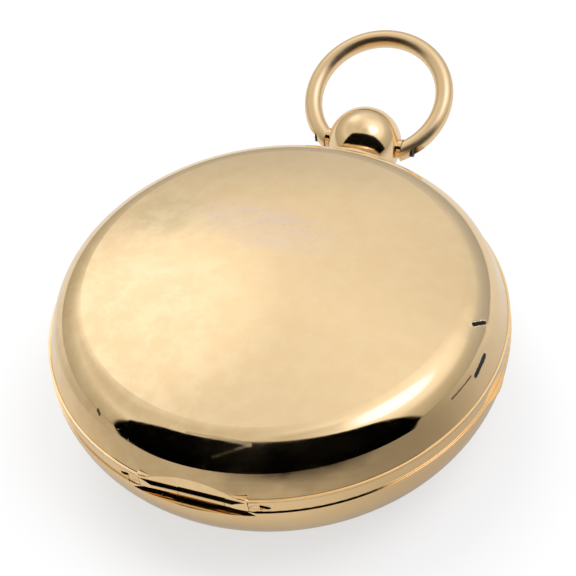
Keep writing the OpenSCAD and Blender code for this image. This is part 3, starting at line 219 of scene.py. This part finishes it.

# A darker greenish patch beside it
OLIVE_MIDDLE = (-15.6, 5.6, 20.4)
OLIVE_EDGE, OLIVE_FRAY = (6.4 * MM, 2.6 * MM), 2.2 * MM
OLIVE_TINT, OLIVE_SHARE = (0.68, 0.56, 0.33), 0.55

# Pale clouds, more of them on the lid's left as a painted highlight, and pits in the rubbed patch
CLOUD_SCALE, CLOUD_EDGE, CLOUD_TINT = 420.0, (0.38, 0.66), (0.985, 0.77, 0.47)
HIGHLIGHT_LEFT, HIGHLIGHT_LEFT_EDGE = unit(-60, 0), (-2 * MM, 16 * MM)
CLOUD_SHARE, HIGHLIGHT_MORE = 0.22, 0.45
PIT_SCALE, PIT_EDGE, PIT_TINT, PIT_SHARE = 5200.0, (0.70, 0.76), (0.26, 0.17, 0.09), 0.75

# Dark marks: from, to, half width and colour. The two on the right shoulder are painted
# reflections, bent by the dent there; the last is a stain. Here, and for scratches, the edge
# and the fray are shares of the half width.
STAINS_AND_REFLECTIONS = (((26.09, -2.7, 16.45), (25.83, -5.33, 16.07), 0.42, (0.03, 0.035, 0.04)),
          ((25.47, -6.05, 16.6), (24.35, -9.7, 16.52), 0.14, (0.24, 0.15, 0.08)),
          ((-12.3, -22.5, 17.62), (-12.0, -22.8, 17.4), 0.26, (0.16, 0.11, 0.06)))
DARK_MARK_EDGE, DARK_MARK_FRAY = (1.35, 0.9), 0.6

# Scratches: from, to and half width
SCRATCHES = (((-0.77, -23.77, 19.21), (2.41, -23.6, 19.24), 0.16),
             ((2.41, -23.6, 19.24), (6.3, -23.39, 18.96), 0.26),
             ((6.3, -23.39, 18.96), (2.67, -25.25, 17.94), 0.22),
             ((-9.2, -24.1, 17.3), (-7.9, -24.2, 17.6), 0.10),
             ((-7.66, -24.97, 16.76), (-7.4, -23.9, 17.9), 0.10),
             ((3.0, 4.9, 21.13), (4.3, 5.5, 21.1), 0.05))
SCRATCH_EDGE, SCRATCH_FRAY, SCRATCH_ROUGH = (1.9, 0.4), 0.9, 0.26

# A split in the right shoulder, painted near black as the shade inside it, with a painted highlight along its
# raised rim, in a small dent
SPLIT_FROM, SPLIT_TO = (24.30, -0.60, 18.91), (25.20, 0.68, 18.12)
SPLIT_EDGE, SPLIT_FRAY = (0.38, 0.30), 0.2
SPLIT_SHADE_TINT, SPLIT_ROUGH = (0.035, 0.03, 0.012), 0.35
RIM_EDGE, RIM_SCALE, RIM_GAPS = (0.46, 0.36), 1500.0, (0.36, 0.58)
RIM_HIGHLIGHT_TINT, RIM_HIGHLIGHT_SHARE = (0.97, 0.90, 0.72), 0.7
DENT_EDGE, DENT_DEPTH = (2.6, 0.0), 0.05 * MM


def near_line(s, p, a, b):
    """Distance in mm from the straight line between two places."""
    a, b = Vector(a) * MM, Vector(b) * MM
    along = b - a
    offset = s.vector("SUBTRACT", p, a)
    share = s.math("DIVIDE", s.dot(offset, along), along.length_squared, clamp=True)
    return s.math("DIVIDE", s.distance(offset, s.scaled(along, share)), MM)


def lid_patches(s, p, ragged, tint, roughness):
    """Bent brushing marks, a rubbed and a darker greenish patch, pale clouds with a painted highlight on the lid's
    left, and pits.
    """
    wander = s.add("ShaderNodeTexNoise", {"Vector": p, "Scale": WANDER_SCALE, "Detail": 1.0})
    bent = s.vector("ADD", p, s.scaled(wander.outputs["Color"], WANDER))
    streaks = s.lines(bent, *STREAKS)

    rubbed = s.vector("SUBTRACT", p, Vector(RUBBED_MIDDLE) * MM)
    rubbed = s.length(s.stretched(rubbed, RUBBED_ANGLE, RUBBED_SCALE))
    rubbed = s.smooth(s.plus(rubbed, ragged, RUBBED_FRAY), *RUBBED_EDGE)
    streaky = s.times(rubbed, s.smooth(streaks, *RUBBED_RANGE))
    tint = s.mix(streaky, tint, RUBBED_TINT)

    olive = s.distance(p, Vector(OLIVE_MIDDLE) * MM)
    olive = s.smooth(s.plus(olive, streaks, OLIVE_FRAY), *OLIVE_EDGE)
    tint = s.mix(s.times(olive, OLIVE_SHARE), tint, OLIVE_TINT)

    roughness = s.plus(roughness, streaky, RUBBED_ROUGH)
    brushed = s.smooth(streaks, *STREAK_RANGE)
    roughness = s.plus(roughness, brushed, STREAK_ROUGH)

    cloud = s.smooth(s.noise(bent, CLOUD_SCALE, detail=4.0, roughness=0.6), *CLOUD_EDGE)
    # Painted highlight: the lid's left takes more of the pale clouds
    left = s.smooth(s.dot(p, HIGHLIGHT_LEFT), *HIGHLIGHT_LEFT_EDGE)
    share = s.plus(s.times(left, HIGHLIGHT_MORE), CLOUD_SHARE)
    tint = s.mix(s.times(cloud, share), tint, CLOUD_TINT)

    pits = s.smooth(s.noise(p, PIT_SCALE, detail=1.0), *PIT_EDGE)
    tint = s.mix(s.times(pits, s.times(rubbed, PIT_SHARE)), tint, PIT_TINT)
    return tint, roughness


def lid_split(s, p, ragged, tint, roughness, normal):
    """The split painted dark as its shade, the broken painted highlight on the rim round it and the dent it lies
    in.
    """
    gap = near_line(s, p, SPLIT_FROM, SPLIT_TO)
    split = s.smooth(s.plus(gap, ragged, SPLIT_FRAY), *SPLIT_EDGE)
    rim = s.times(s.smooth(gap, *RIM_EDGE), s.without(split))
    rim = s.times(rim, s.smooth(s.noise(p, RIM_SCALE, detail=2.0), *RIM_GAPS))
    # Painted shade inside the split and a painted highlight on its rim
    tint = s.mix(split, tint, SPLIT_SHADE_TINT)
    tint = s.mix(s.times(rim, RIM_HIGHLIGHT_SHARE), tint, RIM_HIGHLIGHT_TINT)
    roughness = s.plus(roughness, s.plus(rim, split), SPLIT_ROUGH)
    sink = s.math("SUBTRACT", s.smooth(gap, *DENT_EDGE), rim)
    return tint, roughness, s.bump(s.without(sink), 1.0, DENT_DEPTH, normal)


def lid_wear_and_light(s, p, tint, roughness, normal):
    """Every worn mark and all painted light on the lid, over the gold's own tint, roughness and normal."""
    ragged = s.noise(p, RAGGED_SCALE, detail=3.0)
    tint, roughness = lid_patches(s, p, ragged, tint, roughness)
    for a, b, wide in SCRATCHES:
        gap = s.plus(near_line(s, p, a, b), ragged, wide * SCRATCH_FRAY)
        line = s.smooth(gap, *(wide * edge for edge in SCRATCH_EDGE))
        roughness = s.plus(roughness, line, SCRATCH_ROUGH)
    # Dark marks: painted reflections on the right shoulder, and one stain
    for a, b, wide, color in STAINS_AND_REFLECTIONS:
        gap = s.plus(near_line(s, p, a, b), ragged, wide * DARK_MARK_FRAY)
        dark_mark = s.smooth(gap, *(wide * edge for edge in DARK_MARK_EDGE))
        tint = s.mix(dark_mark, tint, color)
    tint, roughness, normal = lid_split(s, p, ragged, tint, roughness, normal)
    return tint, s.math("MINIMUM", roughness, 1.0), normal


# The other metals, and enamel, glass and ruby

# Clouds in a grained metal: how much wider than its grain, and how dark
CLOUDS_WIDER, CLOUDS_DARKER = 22, 0.86
GRAIN_DEPTH, POLISH_DEPTH = 0.01 * MM, 0.004 * MM


def grained_metal(name, color, rough, grain, depth, scale=2600.0):
    """Metal with a fine even grain, as matte gilding or satin steel has."""
    material, s, p = new_material(name)
    speck = s.noise(p, scale, detail=4.0, roughness=0.7)
    cloud = s.noise(p, scale / CLOUDS_WIDER, detail=3.0)
    darker = tuple(c * CLOUDS_DARKER for c in color)
    s.surface({"Base Color": s.mix(s.smooth(cloud, 0.3, 0.75), color, darker),
               "Metallic": 1.0, "Roughness": s.plus(rough, speck, grain),
               "Normal": s.bump(speck, depth, GRAIN_DEPTH)})
    return material


def blued_steel():
    """Polished steel tempered blue, a little violet in places."""
    material, s, p = new_material("blued_steel")
    cloud = s.noise(p, 420.0, detail=3.0, distortion=0.4)
    tint = s.mix(s.smooth(cloud, 0.3, 0.7), (0.03, 0.055, 0.30), (0.075, 0.05, 0.24))
    speck = s.noise(p, 5200.0, detail=2.0)
    s.surface({"Base Color": tint, "Metallic": 1.0,
               "Roughness": s.plus(0.13, speck, 0.09),
               "Normal": s.bump(speck, 0.08, POLISH_DEPTH),
               "Coat Weight": 0.3, "Coat Roughness": 0.08})
    return material


def dark_screw():
    """Steel screw gone dark with age, as those in the bow's ends."""
    material, s, p = new_material("dark_screw")
    rust = s.noise(p, 3000.0, detail=4.0, roughness=0.65)
    tint = s.mix(s.smooth(rust, 0.4, 0.7), (0.035, 0.028, 0.022), (0.10, 0.07, 0.05))
    s.surface({"Base Color": tint, "Metallic": 0.8,
               "Roughness": s.plus(0.3, rust, 0.25),
               "Normal": s.bump(rust, 0.4, GRAIN_DEPTH)})
    return material


def enamel():
    """Fired white enamel: faint clouding and hardly any orange peel under a hard gloss."""
    material, s, p = new_material("enamel_dial")
    cloud = s.noise(p, 160.0, detail=4.0)
    tint = s.mix(s.smooth(cloud, 0.35, 0.7), (0.86, 0.85, 0.80), (0.82, 0.81, 0.755))
    peel = s.noise(p, 1500.0, detail=2.0)
    s.surface({"Base Color": tint, "Roughness": s.plus(0.09, peel, 0.05),
               "Normal": s.bump(peel, 0.06, GRAIN_DEPTH),
               "Coat Weight": 0.6, "Coat Roughness": 0.04})
    return material


def dial_black():
    """Black enamel of the dial's painting."""
    material, s, p = new_material("dial_black")
    edge = s.noise(p, 5000.0, detail=3.0)
    tint = s.mix(edge, (0.006, 0.006, 0.008), (0.02, 0.018, 0.018))
    s.surface({"Base Color": tint, "Roughness": s.plus(0.2, edge, 0.15)})
    return material


def crystal():
    """Clear glass with a faint smear."""
    material, s, p = new_material("crystal")
    smear = s.smooth(s.noise(p, 130.0, detail=4.0, distortion=0.5), 0.45, 0.75)
    s.surface({"Base Color": (0.97, 0.985, 0.98, 1.0), "Transmission Weight": 1.0,
               "IOR": 1.5, "Roughness": s.times(smear, 0.035)})
    return material


def ruby():
    """Jewels of ruby, half clear and clouded."""
    material, s, p = new_material("ruby")
    cloud = s.noise(p, 2500.0, detail=2.0)
    s.surface({"Base Color": s.mix(cloud, (0.50, 0.01, 0.06), (0.62, 0.03, 0.10)),
               "Roughness": s.plus(0.05, cloud, 0.06),
               "Transmission Weight": 0.35, "IOR": 1.76})
    return material


COVER_FINISH = {"rough": 0.055, "haze": 0.09, "scratch": 0.05, "wear_scale": 60.0}

SLOT_LOOKS = {
    "gold": worn_gold("gold_case"),
    "gilt": grained_metal("gilt_movement", (0.86, 0.62, 0.28), 0.26, 0.16, 0.35),
    "steel": grained_metal("polished_steel", (0.62, 0.62, 0.64), 0.1, 0.1, 0.1, 3400.0),
    "blued_steel": blued_steel(),
    "crystal": crystal(),
    "enamel": enamel(),
    "ruby": ruby()}
OWN_LOOKS = {
    "front_cover": worn_gold("gold_lid", wear_and_light=lid_wear_and_light, **COVER_FINISH),
    "back_cover": worn_gold("gold_back", **COVER_FINISH),
    "bow": worn_gold("gold_bow", rough=0.3, haze=0.08, scratch=0.25, wear_scale=240.0),
    "inner_dome": worn_gold("gold_inner", GOLD_INNER, rough=0.05, haze=0.03, scratch=0.02),
    "bow_screws": dark_screw()}

for part in frame["record"]["subparts"]:
    name = part["node"]
    look = OWN_LOOKS.get(name, SLOT_LOOKS[part["material_slot"]])
    NODES[name].data.materials.clear()
    NODES[name].data.materials.append(look)


# Dial painting: hour numerals, minute track and seconds track in fired black. Sizes are in mm
# and start from the dial's edge and from the axis of the seconds hand.

DIAL_RADIUS, _, DIAL_TOP = (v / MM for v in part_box("dial")[1])
DIAL_MIDDLE = (0.0, 0.0)
JOINTS = {joint["name"]: joint for joint in frame["joints"]}
SECONDS_MIDDLE = tuple(v / MM for v in JOINTS["fourth_spin"]["pos_m"][:2])

DIAL_MARGIN, TRACK_WIDTH, NUMERAL_GAP, NUMERAL_HEIGHT = 1.65, 1.2, 0.7, 3.45
MINUTE_OUTER = DIAL_RADIUS - DIAL_MARGIN
MINUTE_INNER = MINUTE_OUTER - TRACK_WIDTH
NUMERAL_HIGH = MINUTE_INNER - NUMERAL_GAP
NUMERAL_LOW = NUMERAL_HIGH - NUMERAL_HEIGHT
SECONDS_OUTER, SECONDS_INNER, SECONDS_RADIUS, SECONDS_SIZE = 4.0, 3.45, 2.72, 1.05
SECONDS_WORDS = ("60", "10", "20", "30", "40", "50")

PAINT_T = 0.012
RING_STEPS, DOT_STEPS = 180, 20
TICKS, LONG_EVERY, DOT_GAP = 60, 5, 0.45


def circle(middle, radius, steps):
    return [(middle[0] + radius * math.cos(2 * math.pi * i / steps),
             middle[1] + radius * math.sin(2 * math.pi * i / steps))
            for i in range(steps)]


def painted(name, data, place=(0.0, 0.0, 0.0)):
    """A painted mark that moves with the case."""
    obj = new_object(name, data)
    obj.location = place
    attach(obj, "case")


class Painting:
    """Flat strokes of black enamel gathered into one mesh."""

    def __init__(self, name):
        self.name, self.bm = name, bmesh.new()

    def level(self, outline, z):
        """Vertices of an outline at a height above the dial."""
        return [self.bm.verts.new((x * MM, y * MM, (DIAL_TOP + z) * MM)) for x, y in outline]

    def prism(self, outline):
        low, top = self.level(outline, 0.0), self.level(outline, PAINT_T)
        self.bm.faces.new(top)
        self.bm.faces.new(low[::-1])
        for i in range(len(outline)):
            j = (i + 1) % len(outline)
            self.bm.faces.new((low[i], low[j], top[j], top[i]))

    def ring(self, middle, radius, width):
        inner, outer = radius - width / 2, radius + width / 2
        section = ((inner, 0.0), (outer, 0.0), (outer, PAINT_T), (inner, PAINT_T))
        rings = [self.level(circle(middle, r, RING_STEPS), z) for r, z in section]
        for a in range(len(rings)):
            b = (a + 1) % len(rings)
            for i in range(RING_STEPS):
                j = (i + 1) % RING_STEPS
                self.bm.faces.new((rings[a][i], rings[b][i], rings[b][j], rings[a][j]))

    def finish(self):
        bmesh.ops.recalc_face_normals(self.bm, faces=self.bm.faces)
        mesh = bpy.data.meshes.new(self.name)
        self.bm.to_mesh(mesh)
        self.bm.free()
        mesh.materials.append(BLACK)
        painted(self.name, mesh)


def clock_point(hour_angle, across, out, middle=DIAL_MIDDLE):
    """Place on the dial: degrees clockwise from twelve, mm across and mm outwards."""
    a = math.radians(hour_angle)
    return (middle[0] + out * math.sin(a) + across * math.cos(a),
            middle[1] + out * math.cos(a) - across * math.sin(a))


# Letters stand about their middle: across in mm, and up from 0 at the foot to 1 at the head.
# LEG is half the spread of V and X, and the serifs' widths are half widths.
HOURS = ("XII", "I", "II", "III", "IIII", "V", "VI", "VII", "VIII", "IX", "X", "XI")
WIDTHS = {"I": 1.0, "V": 2.05, "X": 2.05}
THICK, THIN, LEG = 0.52, 0.13, 0.62
V_THICK_FOOT, V_THIN_FOOT, V_THIN_HEAD = 0.02, 0.16, 0.66
SERIF_T, SERIF_WIDE, SERIF_X_WIDE, SERIF_THIN = 0.12, 0.42, 0.40, 0.26


def slanted(x0, x1, width):
    """Stroke from x0 at the foot to x1 at the head, with level ends."""
    return [(x0 - width / 2, 0.0), (x0 + width / 2, 0.0), (x1 + width / 2, 1.0),
            (x1 - width / 2, 1.0)]


def serif(x, half, at):
    """Flat serif about x, at the foot (0) or the head (1)."""
    high = SERIF_T / NUMERAL_HEIGHT
    y = 0.0 if at == 0 else 1.0 - high
    return [(x - half, y), (x + half, y), (x + half, y + high), (x - half, y + high)]


LETTERS = {
    "I": [slanted(0, 0, THICK), serif(0, SERIF_WIDE, 0), serif(0, SERIF_WIDE, 1)],
    "V": [slanted(V_THICK_FOOT, -LEG, THICK), slanted(V_THIN_FOOT, V_THIN_HEAD, THIN),
          serif(-LEG, SERIF_WIDE, 1), serif(V_THIN_HEAD, SERIF_THIN, 1)],
    "X": [slanted(LEG, -LEG, THICK), slanted(-LEG, LEG, THIN),
          serif(-LEG, SERIF_X_WIDE, 1), serif(LEG, SERIF_THIN, 1),
          serif(-LEG, SERIF_THIN, 0), serif(LEG, SERIF_X_WIDE, 0)]}


def paint_hours():
    """Roman numerals with their feet towards the middle."""
    painting = Painting("hour_numerals")
    for hour, word in enumerate(HOURS):
        x = -sum(WIDTHS[c] for c in word) / 2
        for c in word:
            middle = x + WIDTHS[c] / 2
            for stroke in LETTERS[c]:
                painting.prism([clock_point(360 / len(HOURS) * hour, middle + u,
                                            NUMERAL_LOW + v * NUMERAL_HEIGHT)
                                for u, v in stroke])
            x += WIDTHS[c]
    painting.finish()


def paint_track(name, middle, inner, outer, line, tick, long_tick, dots=0.0):
    """Two rings with sixty ticks between them, every fifth bolder."""
    painting = Painting(name)
    for radius in (inner, outer):
        painting.ring(middle, radius, line)
    for i in range(TICKS):
        angle, is_long = 360 / TICKS * i, i % LONG_EVERY == 0
        half = (long_tick if is_long else tick) / 2
        corners = ((-half, inner), (half, inner), (half, outer), (-half, outer))
        painting.prism([clock_point(angle, u, v, middle) for u, v in corners])
        if dots and is_long:
            dot = clock_point(angle, 0, outer + DOT_GAP, middle)
            painting.prism(circle(dot, dots, DOT_STEPS))
    painting.finish()


def paint_seconds_numbers():
    """Small plain numbers, ten to sixty, upright round the seconds track."""
    for i, word in enumerate(SECONDS_WORDS):
        name = "seconds_number_%s" % word
        curve = bpy.data.curves.new(name, "FONT")
        curve.body = word
        curve.size = SECONDS_SIZE * MM
        curve.extrude = PAINT_T / 2 * MM
        curve.align_x, curve.align_y = "CENTER", "CENTER"
        curve.materials.append(BLACK)
        x, y = clock_point(360 / len(SECONDS_WORDS) * i, 0, SECONDS_RADIUS, SECONDS_MIDDLE)
        painted(name, curve, (x * MM, y * MM, (DIAL_TOP + PAINT_T / 2) * MM))


BLACK = dial_black()
paint_hours()
paint_track("minute_track", DIAL_MIDDLE, MINUTE_INNER, MINUTE_OUTER, line=0.07, tick=0.09,
            long_tick=0.3, dots=0.17)
paint_track("seconds_track", SECONDS_MIDDLE, SECONDS_INNER, SECONDS_OUTER, line=0.05,
            tick=0.06, long_tick=0.14)
paint_seconds_numbers()


# Studio. The metal mirrors a dark opening in front. It lies on the inner side of three planes
# through the frame's origin, and these are the planes' normals.

OPENING_RIGHT, OPENING_LEFT, OPENING_TOP = unit(-7.6, -8.9), unit(33, 0), unit(5, -19)

FLOOR_HALF, FLOOR_Z = 3000.0 * MM, -0.02 * MM

# The floor as the metal mirrors it: its level, and the painted shade taken off to the front and to
# the right. Its edges are cosines from a direction, or distances from the origin.
FLOOR_LEVEL = 0.68
FRONT, FRONT_EDGE, FRONT_SHADE = unit(5, 0), (-0.5, 0.45), (36 * MM, 68 * MM, 0.04, 0.31)
RIGHT, RIGHT_SHADE = unit(82, 0), (0.5, 0.95, 0.0, 0.16)
# It turns black past the far edge, where it is also inside the opening's side planes
FAR_EDGE, PLANE_EDGE = (92 * MM, 101 * MM), (16 * MM, 21 * MM)

PAPER_DARK, PAPER_LIGHT, PAPER_WARM = (0.78,) * 3, (0.80,) * 3, (0.82, 0.75, 0.62)
# Shares of plain white over the paper, as the camera sees it and as the metal mirrors it
WHITE_SEEN, WHITE_MIRRORED = 0.62, 0.42


def floor_material():
    """Paper, white to the camera; grey in the metal, with painted shade to the front and right,
    and black there far out in front.
    """
    material, s, p = new_material("floor")
    path = s.add("ShaderNodeLightPath").outputs
    mirrored = path["Is Glossy Ray"]
    radius = s.length(p)
    front = s.smooth(s.math("DIVIDE", s.dot(p, FRONT), radius), *FRONT_EDGE)
    right = s.smooth(s.math("DIVIDE", s.dot(p, RIGHT), radius), *RIGHT_SHADE)
    # Painted shade: the mirrored floor is darker out in front and to the right
    near = s.math("SUBTRACT", FLOOR_LEVEL, s.times(front, s.smooth(radius, *FRONT_SHADE)))
    near = s.math("SUBTRACT", near, right)
    beyond = s.times(s.smooth(radius, *FAR_EDGE),
                     s.times(s.smooth(s.dot(p, OPENING_RIGHT), *PLANE_EDGE),
                             s.smooth(s.dot(p, OPENING_LEFT), *PLANE_EDGE)))
    seen = s.times(near, s.without(beyond))
    level = s.plus(s.times(mirrored, seen), s.without(mirrored))
    paper = s.noise(p, 30.0, detail=4.0)
    tone = s.mix(paper, PAPER_DARK, PAPER_LIGHT)
    tone = s.mix(s.times(mirrored, front), tone, PAPER_WARM)
    lit = s.add("ShaderNodeBsdfDiffuse", {"Color": s.mix(level, (0.0, 0.0, 0.0), tone)})
    white = s.add("ShaderNodeEmission", {"Color": (1, 1, 1, 1), "Strength": 1.0})
    direct = s.math("MAXIMUM", path["Is Camera Ray"], path["Is Transmission Ray"])
    share = s.plus(s.times(direct, WHITE_SEEN),
                   s.times(mirrored, s.times(seen, WHITE_MIRRORED)))
    both = s.add("ShaderNodeMixShader", {0: share, 1: lit.outputs[0], 2: white.outputs[0]})
    s.add("ShaderNodeOutputMaterial", {"Surface": both.outputs[0]})
    return material


def lay_floor():
    """One large sheet just under the part."""
    mesh = bpy.data.meshes.new("floor")
    mesh.from_pydata([(x * FLOOR_HALF, y * FLOOR_HALF, FLOOR_Z)
                      for x, y in ((-1, -1), (1, -1), (1, 1), (-1, 1))], [], [range(4)])
    mesh.materials.append(floor_material())
    obj = new_object("floor", mesh)


# The world's greys by height, the sine of the elevation
SKY = ((0.0, 0.54), (0.30, 0.66), (0.42, 0.75), (0.56, 0.94), (0.72, 0.95), (0.87, 1.03),
       (1.0, 0.95))
# Lighter and darker patches: azimuth, elevation and radius in degrees, and what is added
PATCHES = ((-142, 52, 30, 0.16), (-134, 45, 17, 0.34), (108, 62, 40, 0.44),
           (102, 62, 18, 0.75), (-90, 68, 40, -0.20), (52, 76, 16, -0.35))
SKY_STRENGTH = 0.86
OPENING_SIDE_EDGE, OPENING_TOP_EDGE = (-0.02, 0.02), (-0.03, 0.02)
# Tints: dim parts are warm, and cool at the rear; pale parts are white; the brightest bluish
REAR, REAR_EDGE = unit(170, 0), (0.3, 0.9)
PALE_EDGE, BRIGHT_EDGE = (0.55, 0.9), (1.15, 1.5)
WARM, COOL = (1.02, 0.985, 0.88), (0.95, 1.0, 1.08)
WHITE, BLUISH = (1.0, 1.0, 1.0), (0.96, 1.0, 1.35)


def studio_world():
    """A white tent: paler overhead, grey low down, with a dark opening where one looks in."""
    world = bpy.data.worlds.new("studio")
    world.use_nodes = True
    s = Shader(world.node_tree)
    path = s.add("ShaderNodeLightPath").outputs
    way = s.add("ShaderNodeTexCoord").outputs["Generated"]
    height = s.add("ShaderNodeSeparateXYZ", {0: way}).outputs["Z"]
    ramp = s.add("ShaderNodeValToRGB", {"Fac": height})
    elements = ramp.color_ramp.elements
    while len(elements) < len(SKY):
        elements.new(0.5)
    for element, (at, grey) in zip(elements, SKY):
        element.position = at
        element.color = (grey, grey, grey, 1.0)
    glow = s.add("ShaderNodeSeparateColor", {0: ramp.outputs["Color"]}).outputs["Red"]
    for azimuth, elevation, wide, power in PATCHES:
        glow = s.plus(glow, s.smooth(s.dot(way, unit(azimuth, elevation)),
                                     math.cos(math.radians(wide)), 1.0, 0.0, power))
    opening = s.times(s.smooth(s.dot(way, OPENING_RIGHT), *OPENING_SIDE_EDGE),
                      s.smooth(s.dot(way, OPENING_LEFT), *OPENING_SIDE_EDGE))
    opening = s.times(opening, s.smooth(s.dot(way, OPENING_TOP), *OPENING_TOP_EDGE))
    opening = s.times(opening, path["Is Glossy Ray"])
    glow = s.times(s.times(glow, SKY_STRENGTH), s.without(opening))
    seen = s.math("MAXIMUM", path["Is Camera Ray"], path["Is Transmission Ray"])
    strength = s.plus(s.times(glow, s.without(seen)), seen)
    tint = s.mix(s.smooth(s.dot(way, REAR), *REAR_EDGE), WARM, COOL)
    tint = s.mix(s.smooth(glow, *PALE_EDGE), tint, WHITE)
    tint = s.mix(s.smooth(glow, *BRIGHT_EDGE), tint, BLUISH)
    tint = s.mix(seen, tint, WHITE)
    back = s.add("ShaderNodeBackground", {"Color": tint, "Strength": strength})
    s.add("ShaderNodeOutputWorld", {"Surface": back.outputs[0]})
    bpy.context.scene.world = world


LIGHT_DISTANCE, LIGHT_SIZE = 0.7, 0.5
LIGHT_TARGET = Vector((0, 0, 13 * MM))


def soft_light(name, azimuth, elevation, watts):
    """A round lamp that lights the part and isn't mirrored in it."""
    light = bpy.data.lights.new(name, "AREA")
    light.shape = "DISK"
    light.size = LIGHT_SIZE
    light.energy = watts
    obj = new_object(name, light)
    way = unit(azimuth, elevation)
    obj.location = way * LIGHT_DISTANCE + LIGHT_TARGET
    obj.rotation_mode = "QUATERNION"
    obj.rotation_quaternion = way.to_track_quat("Z", "Y")
    obj.visible_glossy = False
    obj.visible_camera = False


lay_floor()
studio_world()
soft_light("key_light", -128, 56, 2.2)
soft_light("fill_light", 118, 60, 1.6)


# Camera at the photographed angle: azimuth, elevation and roll in degrees, lens in mm

CAMERA_AZIMUTH, CAMERA_ELEVATION, CAMERA_ROLL = 25.9, 45.29, -7.95
CAMERA_DISTANCE = 181.7 * MM
CAMERA_TARGET = Vector((-0.28, 4.47, 13.2356)) * MM
CAMERA_SENSOR, CAMERA_LENS = 36.0, 93.75
CAMERA_NEAR, CAMERA_FAR = 0.005, 20.0


def make_camera():
    data = bpy.data.cameras.new("camera")
    data.sensor_width = CAMERA_SENSOR
    data.lens = CAMERA_LENS
    data.clip_start, data.clip_end = CAMERA_NEAR, CAMERA_FAR
    obj = new_object("camera", data)
    back = unit(CAMERA_AZIMUTH, CAMERA_ELEVATION)
    right = Vector((0, 0, 1)).cross(back).normalized()
    up = back.cross(right)
    roll = math.radians(CAMERA_ROLL)
    x = right * math.cos(roll) + up * math.sin(roll)
    y = up * math.cos(roll) - right * math.sin(roll)
    turn = Matrix((x, y, back)).transposed().to_4x4()
    obj.matrix_world = Matrix.Translation(CAMERA_TARGET + back * CAMERA_DISTANCE) @ turn
    bpy.context.scene.camera = obj


make_camera()
bpy.context.scene.view_settings.view_transform = "Standard"
